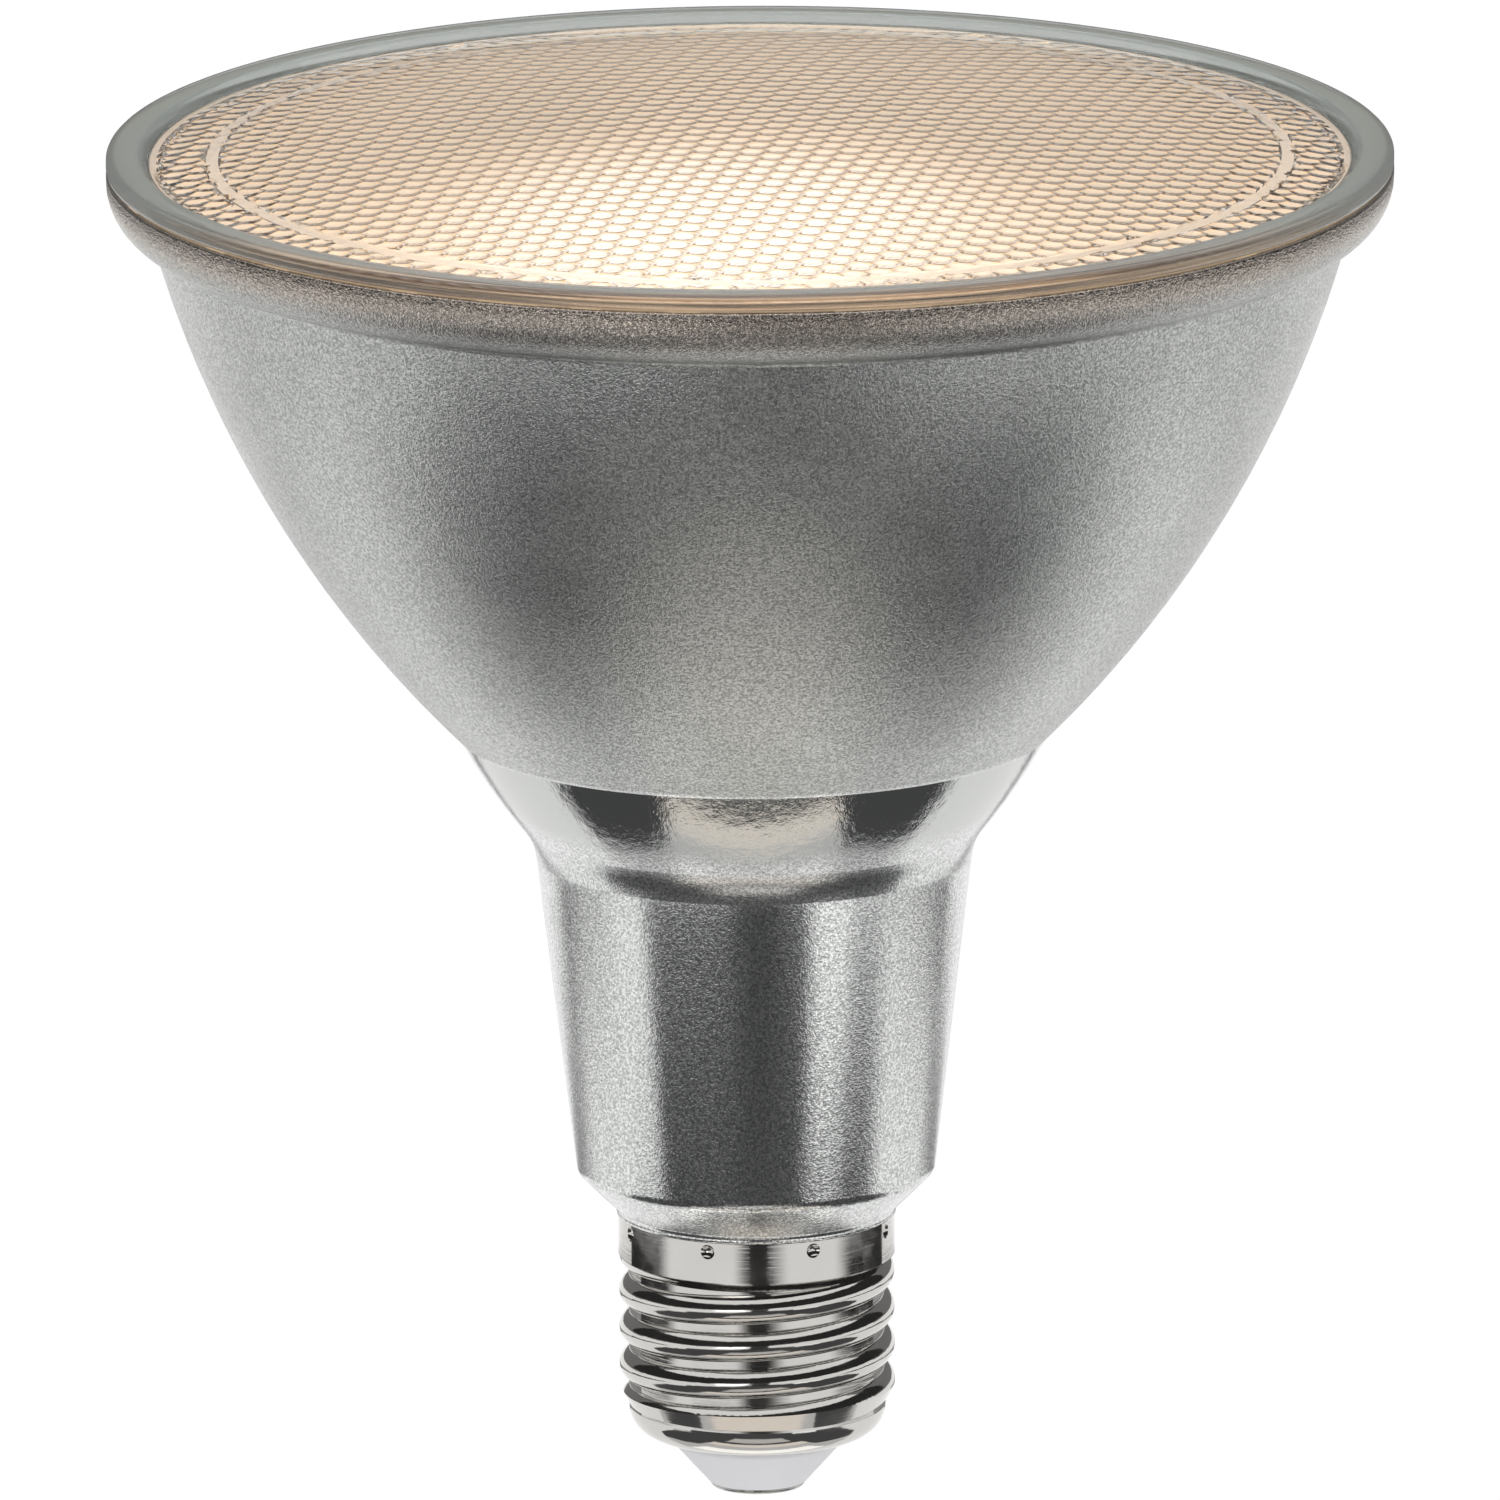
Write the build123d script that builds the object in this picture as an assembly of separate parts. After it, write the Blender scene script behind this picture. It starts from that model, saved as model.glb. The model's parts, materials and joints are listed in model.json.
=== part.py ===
"""Glass spotlight lamp with a screw base, lens up and base down.

Millimetres, +Z up. The origin is the middle of the centre contact's underside.
Heights are stacked from the contact upwards, so a change of one carries what is above it.
Each separate piece of the lamp is written to parts as a file of its own.
"""
import math
import os

from build123d import *

# Reflector: rounded rim bead, bowed bowl, glossy collar and tapered neck
RIM_RADIUS = 61.0
BEAD_RADIUS = 5.0
BEAD_OVERHANG = 4.2
RIM_EDGE_HEIGHT = 0.9
FLANGE_WIDTH = 3.8
GLASS_WALL = 2.5
BOWL_HEIGHT = 48.96
BOWL_FOOT_RADIUS = 28.2
BOWL_BOW = 3.7
COLLAR_HEIGHT = 10.4
COLLAR_FOOT_RADIUS = 20.95
COLLAR_BOW = 0.34
COLLAR_BLEND = 6.0
NECK_LENGTH = 32.5
NECK_FOOT_RADIUS = 17.04
NECK_CORNER_BLEND = 1.5
NECK_CONE_HEIGHT = 3.7
NECK_EDGE_HEIGHT = 0.7
NECK_EDGE_OVERHANG = 0.2
NECK_FLOOR_THICKNESS = 3.0
GLASS_CREASE_BLEND = 0.6
GLASS_EDGE_BLEND = 0.3

# Front lens: flat rim, step, shallow dome and a plain ring on its inner face
SEAL_THICKNESS = 0.2
SEAL_INSET = 0.4
LENS_EDGE_HEIGHT = 1.5
LENS_EDGE_BLEND = 0.6
LENS_RIM_WIDTH = 3.0
LENS_STEP_WIDTH = 1.0
LENS_STEP_DROP = 0.95
LENS_STEP_BLEND = 0.6
LENS_DOME_RADIUS = 480.0
LENS_THICKNESS = 2.8
LENSLET_DEPTH = 0.35
LENS_PLUG_CLEARANCE = 1.0
LENS_PLUG_DRAFT = 0.5
PLAIN_RING_RADIUS = 50.0
PLAIN_RING_WIDTH = 1.4

# Screw base: rolled sheet with a round right-hand thread and a row of dimples
SHEET = 0.3
BAND_RADIUS = 13.15
BAND_HEIGHT = 4.4
BAND_FLANK = 1.0
CREST_INSET = 0.05
THREAD_DEPTH = 0.9
THREAD_PITCH = 3.629
THREAD_LENGTH = 14.4
ROOT_WIDTH = 0.73
RIDGE_SINK = 0.25
THREAD_LEAD_IN = 1.4
DOME_HEIGHT = 2.8
DOME_BOW = 0.8
LIP_WIDTH = 2.0
LIP_HOLE_RADIUS = 7.5
DIMPLE_COUNT = 8
DIMPLE_FIRST_ANGLE = 24.2
DIMPLE_DROP = 0.9
DIMPLE_RADIUS = 0.9
DIMPLE_DEPTH = 0.35
CEMENT_GAP = 0.75

# Insulator and centre contact
INSULATOR_HEIGHT = 4.7
INSULATOR_OVERHANG = 0.75
INSULATOR_EDGE_HEIGHT = 0.7
INSULATOR_FOOT_RADIUS = 4.7
INSULATOR_PLUG_HEIGHT = 2.0
CONTACT_THICKNESS = 0.5
CONTACT_RADIUS = 4.5
CONTACT_EDGE_BLEND = 0.3
CONTACT_STEM_RADIUS = 1.3
CONTACT_STEM_RISE = 0.8

# Light engine: spreader, board, light sources and screws
SEAT_RISE = 2.5
SEAT_WIDTH = 1.25
SEAT_CLEARANCE = 0.3
SPREADER_THICKNESS = 3.0
BOND_HEIGHT = 2.2
SKIRT_DEPTH = 4.7
SKIRT_WALL = 1.4
SKIRT_CLEARANCE = 0.25
LED_BOARD_INSET = 1.5
LED_BOARD_THICKNESS = 1.6
LED_SIDE = 3.0
LED_HEIGHT = 0.7
LED_CORNER = 0.3
LED_GAP = 1.5
LED_INNER_COUNT = 3
LED_OUTER_COUNT = 9
SCREW_EDGE = 2.2
SCREW_SHANK_RADIUS = 1.25
SCREW_END_GAP = 0.3
SCREW_HEAD_RADIUS = 2.3
SCREW_HEAD_HEIGHT = 1.5
SCREW_SLOT_WIDTH = 0.5
SCREW_SLOT_DEPTH = 0.7
SCREW_CLEARANCE = 0.15

# Driver: sleeve in the neck, board in the sleeve's rails, and leads
SLEEVE_WALL = 1.2
SLEEVE_CLEARANCE = 0.35
SLEEVE_TOP_GAP = 0.4
SLEEVE_FOOT_INSET = 1.2
BOARD_Y = -4.0
BOARD_THICKNESS = 1.6
BOARD_RISE = 3.7
BOARD_TOP_GAP = 1.5
BOARD_SIDE_GAP = 0.55
RAIL_CLEARANCE = 0.1
RAIL_GRIP = 0.9
RAIL_THICKNESS = 1.0
RAIL_TOP_DROP = 2.0
RAIL_PART_GAP = 0.2
LEAD_RADIUS = 0.6
LEAD_BEND = 2.5
LEAD_STRAIGHT = 7.0
MAINS_LEAD_PLACE = 3.0
LED_LEAD_GAP = 0.8
LED_LEAD_BOW_HEIGHT = 3.2
LED_LEAD_BOW_LENGTH = 6.0
SOLDER_HEIGHT = 0.8
LEAD_HOLE_CLEARANCE = 0.3

# Parts on the driver board
PART_GAP = 0.5
FILM_BOX = (9.0, 4.0, 8.0)
FILM_BOX_BLEND = 0.6
CHOKE_RADIUS = 3.2
CHOKE_HEIGHT = 8.0
STORAGE_RADIUS = 3.6
STORAGE_HEIGHT = 10.5
OUTPUT_RADIUS = 2.4
OUTPUT_HEIGHT = 9.0
CAN_GROOVE = 0.5
CORE_SIZE = (11.0, 10.0, 5.0)
CORE_LEG = 3.2
CORE_YOKE = 1.8
CORE_RISE = 2.6
WINDING_CLEARANCE = 0.1
RESISTOR_RADIUS = 1.5
RESISTOR_LENGTH = 6.0
RESISTOR_SPAN = 9.2
RESISTOR_RISE = 2.4
RESISTOR_WIRE_RADIUS = 0.35
RECTIFIER_SIZE = (4.7, 3.9, 2.4)
CHIP_SIZE = (4.9, 3.9, 1.5)
CHIP_LEG = (0.45, 0.9, 0.7)
CHIP_LEG_COUNT = 4

# Heights worked out from the sizes above, from the contact upwards
LIP_Z = CONTACT_THICKNESS + INSULATOR_HEIGHT
DOME_TOP_Z = LIP_Z + DOME_HEIGHT
BAND_BOTTOM_Z = DOME_TOP_Z + THREAD_LENGTH
NECK_BOTTOM_Z = BAND_BOTTOM_Z + BAND_HEIGHT
NECK_CONE_Z = NECK_BOTTOM_Z + NECK_EDGE_HEIGHT
NECK_FLOOR_Z = NECK_BOTTOM_Z + NECK_FLOOR_THICKNESS
NECK_FOOT_Z = NECK_CONE_Z + NECK_CONE_HEIGHT
COLLAR_FOOT_Z = NECK_FOOT_Z + NECK_LENGTH
SEAT_Z = COLLAR_FOOT_Z + SEAT_RISE
SPREADER_TOP_Z = SEAT_Z + SPREADER_THICKNESS
LED_BOARD_TOP_Z = SPREADER_TOP_Z + LED_BOARD_THICKNESS
SKIRT_BOTTOM_Z = SEAT_Z - SKIRT_DEPTH
SLEEVE_TOP_Z = SEAT_Z - SLEEVE_TOP_GAP
BOARD_BOTTOM_Z = NECK_FLOOR_Z + BOARD_RISE
BOARD_TOP_Z = SKIRT_BOTTOM_Z - BOARD_TOP_GAP
BOWL_FOOT_Z = COLLAR_FOOT_Z + COLLAR_HEIGHT
BOWL_TOP_Z = BOWL_FOOT_Z + BOWL_HEIGHT
BEAD_Z = BOWL_TOP_Z + math.sqrt(BEAD_RADIUS ** 2 - (BEAD_RADIUS - BEAD_OVERHANG) ** 2)
SEAM_Z = BEAD_Z + RIM_EDGE_HEIGHT
LENS_BOTTOM_Z = SEAM_Z + SEAL_THICKNESS
RIM_TOP_Z = LENS_BOTTOM_Z + LENS_EDGE_HEIGHT
LENS_STEP_Z = RIM_TOP_Z - LENS_STEP_DROP

# Radii and depths that several pieces share
CREST_RADIUS = BAND_RADIUS - CREST_INSET
ROOT_RADIUS = CREST_RADIUS - THREAD_DEPTH
LIP_RADIUS = LIP_HOLE_RADIUS + LIP_WIDTH
SPIGOT_RADIUS = BAND_RADIUS - SHEET - CEMENT_GAP
SPIGOT_BORE = SPIGOT_RADIUS - GLASS_WALL
SPIGOT_BOTTOM_Z = BAND_BOTTOM_Z + BAND_FLANK / 2
NECK_BOTTOM_RADIUS = BAND_RADIUS + NECK_EDGE_OVERHANG
NECK_SLOPE = (COLLAR_FOOT_RADIUS - NECK_FOOT_RADIUS) / NECK_LENGTH
CONE_SLOPE = (NECK_FOOT_RADIUS - NECK_BOTTOM_RADIUS) / NECK_CONE_HEIGHT
BOWL_TOP_RADIUS = RIM_RADIUS - BEAD_OVERHANG
MOUTH_RADIUS = RIM_RADIUS - FLANGE_WIDTH
LENS_RIM_INNER_RADIUS = RIM_RADIUS - LENS_RIM_WIDTH
LENS_STEP_RADIUS = LENS_RIM_INNER_RADIUS - LENS_STEP_WIDTH
BOARD_FRONT_Y = BOARD_Y + BOARD_THICKNESS / 2
BOARD_BACK_Y = BOARD_Y - BOARD_THICKNESS / 2
SLEEVE_BORE = SPIGOT_BORE - SLEEVE_FOOT_INSET


def neck_inner(z):
    """Inside radius of the glass neck at a height."""
    return NECK_FOOT_RADIUS - GLASS_WALL + NECK_SLOPE * (z - NECK_FOOT_Z)


def cone_inner(z):
    """Inside radius of the cone that closes the neck, one wall in from its outside."""
    return NECK_BOTTOM_RADIUS + CONE_SLOPE * (z - NECK_CONE_Z) - GLASS_WALL * math.hypot(1, CONE_SLOPE)


def cone_top():
    """Height at which the inner cone meets the neck's inner wall."""
    gap = neck_inner(NECK_FLOOR_Z) - cone_inner(NECK_FLOOR_Z)
    return NECK_FLOOR_Z + gap / (CONE_SLOPE - NECK_SLOPE)


def sleeve_inner(z):
    """Inside radius of the driver sleeve at a height."""
    return neck_inner(z) - SLEEVE_CLEARANCE - SLEEVE_WALL


# Radii that follow from the neck's taper
SPREADER_RADIUS = neck_inner(SEAT_Z) + SEAT_WIDTH
SEAT_RADIUS = SPREADER_RADIUS + SEAT_CLEARANCE
SKIRT_RADIUS = sleeve_inner(SKIRT_BOTTOM_Z) - SKIRT_CLEARANCE
LED_BOARD_RADIUS = SPREADER_RADIUS - LED_BOARD_INSET
LED_INNER_RADIUS = (LED_SIDE + LED_GAP) / math.sqrt(3)
LED_OUTER_RADIUS = LED_INNER_RADIUS + LED_SIDE + LED_GAP
SCREW_PLACE = LED_BOARD_RADIUS - SCREW_HEAD_RADIUS - SCREW_EDGE
BOARD_HALF_WIDTH = math.sqrt(sleeve_inner(BOARD_BOTTOM_Z) ** 2 - BOARD_BACK_Y ** 2) - BOARD_SIDE_GAP
LED_LEAD_PLACE = LED_OUTER_RADIUS + LED_SIDE / math.sqrt(2) + LED_LEAD_GAP


def turn(*edges):
    """Solid turned round Z from edges that close an outline of radius and height."""
    return revolve(Plane.XZ * make_face(edges), Axis.Z)


def turn_points(*points):
    """Solid turned round Z from a closed outline of straight runs."""
    return turn(*Polyline(*points, close=True).edges())


def turn_rounded(edges, corners):
    """Solid turned round Z from an outline whose named corners are rounded."""
    section = make_face(edges)
    for place, radius in corners:
        section = fillet(section.vertices().sort_by_distance(place)[0], radius)
    return revolve(Plane.XZ * section, Axis.Z)


def tube(outer, inner, bottom, top):
    """Plain ring round Z."""
    return turn_points((inner, bottom), (outer, bottom), (outer, top), (inner, top))


def rod(radius, bottom, top, x=0.0, y=0.0):
    """Upright round bar."""
    return Pos(x, y, bottom) * extrude(Circle(radius), top - bottom)


def block(x_range, y_range, z_range):
    """Box given by its limits, in either order."""
    ranges = [sorted(limits) for limits in (x_range, y_range, z_range)]
    centre = [(low + high) / 2 for low, high in ranges]
    return Pos(*centre) * Box(*[high - low for low, high in ranges])


def bowl_arc(depth):
    """Bowl's arc from foot to top, moved towards the inside by depth."""
    outer = SagittaArc((BOWL_FOOT_RADIUS, BOWL_FOOT_Z), (BOWL_TOP_RADIUS, BOWL_TOP_Z), -BOWL_BOW)
    centre = outer.arc_center
    scale = (outer.radius - depth) / outer.radius
    return ThreePointArc(*[centre + (outer @ t - centre) * scale for t in (0.0, 0.5, 1.0)])


def make_reflector():
    """Pressed glass body: rim bead, bowl, collar, neck and the spigot that the base holds."""
    outer, inner = bowl_arc(0.0), bowl_arc(GLASS_WALL)
    collar_foot = (COLLAR_FOOT_RADIUS, COLLAR_FOOT_Z)
    neck_foot = (NECK_FOOT_RADIUS, NECK_FOOT_Z)
    neck_edge = (NECK_BOTTOM_RADIUS, NECK_CONE_Z)
    neck_bottom = (NECK_BOTTOM_RADIUS, NECK_BOTTOM_Z)
    spigot_top = (SPIGOT_RADIUS, NECK_BOTTOM_Z)
    bead_top = (RIM_RADIUS, BEAD_Z)
    seam = (RIM_RADIUS, SEAM_Z)
    mouth = (MOUTH_RADIUS, SEAM_Z)
    bead_reach = BEAD_RADIUS * math.sqrt(0.5)
    bead_middle = (RIM_RADIUS - BEAD_RADIUS + bead_reach, BEAD_Z - bead_reach)
    outside = [
        *Polyline(mouth, seam, bead_top).edges(),
        ThreePointArc(bead_top, bead_middle, outer @ 1),
        outer,
        SagittaArc(collar_foot, outer @ 0, -COLLAR_BOW),
        *Polyline(collar_foot, neck_foot, neck_edge, neck_bottom, spigot_top).edges(),
    ]
    inside = Polyline(
        spigot_top,
        (SPIGOT_RADIUS, SPIGOT_BOTTOM_Z),
        (SPIGOT_BORE, SPIGOT_BOTTOM_Z),
        (SPIGOT_BORE, NECK_FLOOR_Z),
        (cone_inner(NECK_FLOOR_Z), NECK_FLOOR_Z),
        (neck_inner(cone_top()), cone_top()),
        (neck_inner(SEAT_Z), SEAT_Z),
        (SEAT_RADIUS, SEAT_Z),
        inner @ 0,
    ).edges()
    corners = [
        (seam, GLASS_EDGE_BLEND),
        (outer @ 1, GLASS_CREASE_BLEND),
        (collar_foot, COLLAR_BLEND),
        (neck_foot, NECK_CORNER_BLEND),
        (neck_edge, GLASS_CREASE_BLEND),
        (neck_bottom, GLASS_EDGE_BLEND),
    ]
    return turn_rounded([*outside, *inside, inner, Line(inner @ 1, mouth)], corners)


def dome_z(radius, drop):
    """Height of the lens dome at a radius, lowered by drop."""
    centre_z = LENS_STEP_Z - math.sqrt(LENS_DOME_RADIUS ** 2 - LENS_STEP_RADIUS ** 2)
    return centre_z + math.sqrt((LENS_DOME_RADIUS - drop) ** 2 - radius ** 2)


def dome_arc(inner_radius, outer_radius, drop):
    """Arc of the lens dome between two radii, lowered by drop."""
    radii = (inner_radius, (inner_radius + outer_radius) / 2, outer_radius)
    return ThreePointArc(*[(r, dome_z(r, drop)) for r in radii])


def make_lens():
    """Pressed glass lens: flat rim, step, dome, and lenslet fields parted by a plain ring."""
    field = LENS_THICKNESS - LENSLET_DEPTH
    ring_in, ring_out = PLAIN_RING_RADIUS, PLAIN_RING_RADIUS + PLAIN_RING_WIDTH
    plug_top = MOUTH_RADIUS - LENS_PLUG_CLEARANCE
    plug = plug_top - LENS_PLUG_DRAFT
    step = (LENS_STEP_RADIUS, LENS_STEP_Z)
    rim_inner = (LENS_RIM_INNER_RADIUS, RIM_TOP_Z)
    rim_top = (RIM_RADIUS, RIM_TOP_Z)
    rim_bottom = (RIM_RADIUS, LENS_BOTTOM_Z)
    plug_side = [(plug_top, LENS_BOTTOM_Z), (plug, dome_z(plug, field))]
    rim = Polyline(step, rim_inner, rim_top, rim_bottom, *plug_side)
    under = [
        dome_arc(ring_out, plug, field),
        Line((ring_out, dome_z(ring_out, field)), (ring_out, dome_z(ring_out, LENS_THICKNESS))),
        dome_arc(ring_in, ring_out, LENS_THICKNESS),
        Line((ring_in, dome_z(ring_in, LENS_THICKNESS)), (ring_in, dome_z(ring_in, field))),
        dome_arc(0.0, ring_in, field),
        Line((0.0, dome_z(0.0, field)), (0.0, dome_z(0.0, 0.0))),
    ]
    corners = [
        (rim_top, LENS_EDGE_BLEND),
        (rim_bottom, GLASS_EDGE_BLEND),
        (rim_inner, LENS_STEP_BLEND),
        (step, LENS_STEP_BLEND),
    ]
    return turn_rounded([dome_arc(0.0, LENS_STEP_RADIUS, 0.0), *rim.edges(), *under], corners)


def make_rim_seal():
    """Thin bead of silicone between the lens and the reflector's flange."""
    return tube(RIM_RADIUS - SEAL_INSET, MOUTH_RADIUS + SEAL_INSET, SEAM_Z, LENS_BOTTOM_Z)


def dimple_balls(radius):
    """Balls that press the row of dimples into the plain band."""
    reach = BAND_RADIUS - DIMPLE_DEPTH + DIMPLE_RADIUS
    spots = PolarLocations(reach, DIMPLE_COUNT, DIMPLE_FIRST_ANGLE)
    return [Pos(0, 0, NECK_BOTTOM_Z - DIMPLE_DROP) * spot * Sphere(radius) for spot in spots]


def thread_ridge(root):
    """Round ridge along a right-hand helix that starts under the dome and ends inside the band."""
    start_z = DOME_TOP_Z - THREAD_LEAD_IN
    end_z = BAND_BOTTOM_Z + BAND_HEIGHT / 2
    path = Pos(0, 0, start_z) * Helix(THREAD_PITCH, end_z - start_z, root)
    half = (THREAD_PITCH - ROOT_WIDTH) / 2
    outline = [
        ThreePointArc((0, -half), (THREAD_DEPTH, 0), (0, half)),
        *Polyline((0, half), (-RIDGE_SINK, half), (-RIDGE_SINK, -half), (0, -half)).edges(),
    ]
    start = Plane(path @ 0, x_dir=(1, 0, 0), z_dir=path % 0)
    ridge = sweep(start * make_face(outline), path, is_frenet=True)
    low, reach = DOME_TOP_Z - RIDGE_SINK, root + THREAD_DEPTH + RIDGE_SINK
    lead_in = low + THREAD_LEAD_IN * 2
    room = turn_points((0, low), (root - RIDGE_SINK, low), (reach, lead_in), (reach, end_z), (0, end_z))
    return ridge & room


def shell_form(inset):
    """Outside of the screw base moved in by inset: turned body, helical ridge and dimples."""
    band, root = BAND_RADIUS - inset, ROOT_RADIUS - inset
    top, lip = NECK_BOTTOM_Z + inset, LIP_Z + inset
    flank_top, flank_foot = BAND_BOTTOM_Z + BAND_FLANK / 2, BAND_BOTTOM_Z - BAND_FLANK / 2
    body = turn(
        *Polyline((0, top), (band, top), (band, flank_top), (root, flank_foot), (root, DOME_TOP_Z)).edges(),
        SagittaArc((LIP_RADIUS, lip), (root, DOME_TOP_Z), -DOME_BOW),
        *Polyline((LIP_RADIUS, lip), (0, lip), (0, top)).edges(),
    )
    return body + thread_ridge(root) - dimple_balls(DIMPLE_RADIUS + inset)


def make_screw_shell():
    """Rolled sheet shell of even thickness, open at the top and holed at the foot."""
    return shell_form(0.0) - shell_form(SHEET) - rod(LIP_HOLE_RADIUS, LIP_Z, LIP_Z + SHEET)


def make_base_cement():
    """Cement between the glass spigot and the shell's plain band."""
    ring = tube(BAND_RADIUS - SHEET, SPIGOT_RADIUS, SPIGOT_BOTTOM_Z, NECK_BOTTOM_Z)
    return ring - dimple_balls(DIMPLE_RADIUS + SHEET)


def make_insulator():
    """White insulator: outer cone below the lip and plug through the lip's hole."""
    radius = LIP_HOLE_RADIUS + INSULATOR_OVERHANG
    shoulder = (radius, LIP_Z - INSULATOR_EDGE_HEIGHT)
    outline = Polyline(
        (CONTACT_STEM_RADIUS, CONTACT_THICKNESS),
        (INSULATOR_FOOT_RADIUS, CONTACT_THICKNESS),
        shoulder,
        (radius, LIP_Z),
        (LIP_HOLE_RADIUS, LIP_Z),
        (LIP_HOLE_RADIUS, LIP_Z + INSULATOR_PLUG_HEIGHT),
        (CONTACT_STEM_RADIUS, LIP_Z + INSULATOR_PLUG_HEIGHT),
        close=True,
    )
    return turn_rounded(outline.edges(), [(shoulder, INSULATOR_EDGE_HEIGHT)])


def contact_stem_top():
    """Height of the contact's stem, just above the insulator's plug."""
    return LIP_Z + INSULATOR_PLUG_HEIGHT + CONTACT_STEM_RISE


def make_contact():
    """Centre contact: disc with a rounded edge and a stem that the live lead is soldered to."""
    disc = rod(CONTACT_RADIUS, 0, CONTACT_THICKNESS)
    disc = fillet(disc.edges().group_by(Axis.Z)[0], CONTACT_EDGE_BLEND)
    return disc + rod(CONTACT_STEM_RADIUS, CONTACT_THICKNESS, contact_stem_top())


def led_lead_holes(bottom, top):
    """Two bores for the leads to the light board."""
    radius = LEAD_RADIUS + LEAD_HOLE_CLEARANCE
    return [rod(radius, bottom, top, side * LED_LEAD_PLACE, BOARD_Y) for side in (-1, 1)]


def screw_rods(radius, bottom, top):
    """Two round bars at the places of the board screws."""
    return [rod(radius, bottom, top, 0, side * SCREW_PLACE) for side in (-1, 1)]


def make_spreader():
    """Turned aluminium plate on the collar's seat, with a skirt that centres the sleeve."""
    solid = rod(SPREADER_RADIUS, SEAT_Z, SPREADER_TOP_Z)
    solid += tube(SKIRT_RADIUS, SKIRT_RADIUS - SKIRT_WALL, SKIRT_BOTTOM_Z, SEAT_Z)
    holes = screw_rods(SCREW_SHANK_RADIUS, SEAT_Z, SPREADER_TOP_Z)
    return solid - holes - led_lead_holes(SEAT_Z, SPREADER_TOP_Z)


def make_spreader_bond():
    """Ring of silicone that holds the spreader in the collar."""
    slope_end = bowl_arc(GLASS_WALL) @ 0
    slope = (slope_end.X - SEAT_RADIUS) / (slope_end.Y - SEAT_Z)
    top = SEAT_Z + BOND_HEIGHT
    seat = [(SPREADER_RADIUS, SEAT_Z), (SEAT_RADIUS, SEAT_Z)]
    return turn_points(*seat, (SEAT_RADIUS + slope * BOND_HEIGHT, top), (SPREADER_RADIUS, top))


def make_led_board():
    """Round metal-core board."""
    solid = rod(LED_BOARD_RADIUS, SPREADER_TOP_Z, LED_BOARD_TOP_Z)
    holes = screw_rods(SCREW_SHANK_RADIUS + SCREW_CLEARANCE, SPREADER_TOP_Z, LED_BOARD_TOP_Z)
    return solid - holes - led_lead_holes(SPREADER_TOP_Z, LED_BOARD_TOP_Z)


def make_leds():
    """Light sources in two rings round the axis."""
    package = Pos(0, 0, LED_BOARD_TOP_Z + LED_HEIGHT / 2) * Box(LED_SIDE, LED_SIDE, LED_HEIGHT)
    package = chamfer(package.edges().filter_by(Axis.Z), LED_CORNER)
    inner = PolarLocations(LED_INNER_RADIUS, LED_INNER_COUNT)
    outer = PolarLocations(LED_OUTER_RADIUS, LED_OUTER_COUNT)
    return [spot * package for spot in [*inner, *outer]]


def make_board_screws():
    """Two cross-slotted screws as one group of separate solids."""
    top = LED_BOARD_TOP_Z + SCREW_HEAD_HEIGHT
    shanks = screw_rods(SCREW_SHANK_RADIUS, SEAT_Z + SCREW_END_GAP, LED_BOARD_TOP_Z)
    heads = screw_rods(SCREW_HEAD_RADIUS, LED_BOARD_TOP_Z, top)
    screws = []
    slot = Box(SCREW_HEAD_RADIUS, SCREW_SLOT_WIDTH, 2 * SCREW_SLOT_DEPTH)
    cross = slot + Rot(0, 0, 90) * slot
    for side, shank, head in zip((-1, 1), shanks, heads):
        head = fillet(head.edges().group_by(Axis.Z)[-1], SCREW_HEAD_HEIGHT - SCREW_SLOT_DEPTH)
        screws.append(shank + head - Pos(0, side * SCREW_PLACE, top) * cross)
    return Compound(children=screws)


def sleeve_form(inset):
    """Outside of the driver sleeve moved in by inset, closed at the foot and flush at the top."""
    gap = SLEEVE_CLEARANCE + inset
    foot_z = NECK_FLOOR_Z + inset
    foot = (cone_inner(foot_z) - gap, foot_z)
    bend = (neck_inner(cone_top()) - gap, cone_top())
    mouth = (neck_inner(SLEEVE_TOP_Z) - gap, SLEEVE_TOP_Z)
    return turn_points((0, foot_z), foot, bend, mouth, (0, SLEEVE_TOP_Z))


def make_sleeve():
    """Insulating cup in the neck with two grooved rails for the driver board."""
    outer = sleeve_form(0.0)
    solid = outer - sleeve_form(SLEEVE_WALL)
    rail_top = BOARD_TOP_Z - RAIL_TOP_DROP
    far = neck_inner(SLEEVE_TOP_Z)
    back, front = BOARD_BACK_Y - RAIL_CLEARANCE, BOARD_FRONT_Y + RAIL_CLEARANCE
    rail_y = (back - RAIL_THICKNESS, front + RAIL_THICKNESS)
    for side in (-1, 1):
        rail_x = (side * (BOARD_HALF_WIDTH - RAIL_GRIP), side * far)
        groove_x = (0, side * (BOARD_HALF_WIDTH + RAIL_CLEARANCE))
        rail = block(rail_x, rail_y, (NECK_FLOOR_Z, rail_top))
        solid += (rail - block(groove_x, (back, front), (BOARD_BOTTOM_Z, rail_top))) & outer
    return solid - rod(SLEEVE_BORE, NECK_FLOOR_Z, NECK_FLOOR_Z + SLEEVE_WALL)


def make_driver_board():
    """Upright board whose side edges sit in the sleeve's rails."""
    x_range = (-BOARD_HALF_WIDTH, BOARD_HALF_WIDTH)
    return block(x_range, (BOARD_BACK_Y, BOARD_FRONT_Y), (BOARD_BOTTOM_Z, BOARD_TOP_Z))


def on_front(shape, x, z):
    """Shape that stands on the ground plane moved to stand on the driver board's front."""
    return Pos(x, BOARD_FRONT_Y, z) * (Rot(-90, 0, 0) * shape)


def on_back(shape, x, z):
    """Shape that stands on the ground plane moved to stand on the driver board's back."""
    return Pos(x, BOARD_BACK_Y, z) * (Rot(90, 0, 0) * shape)


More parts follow.
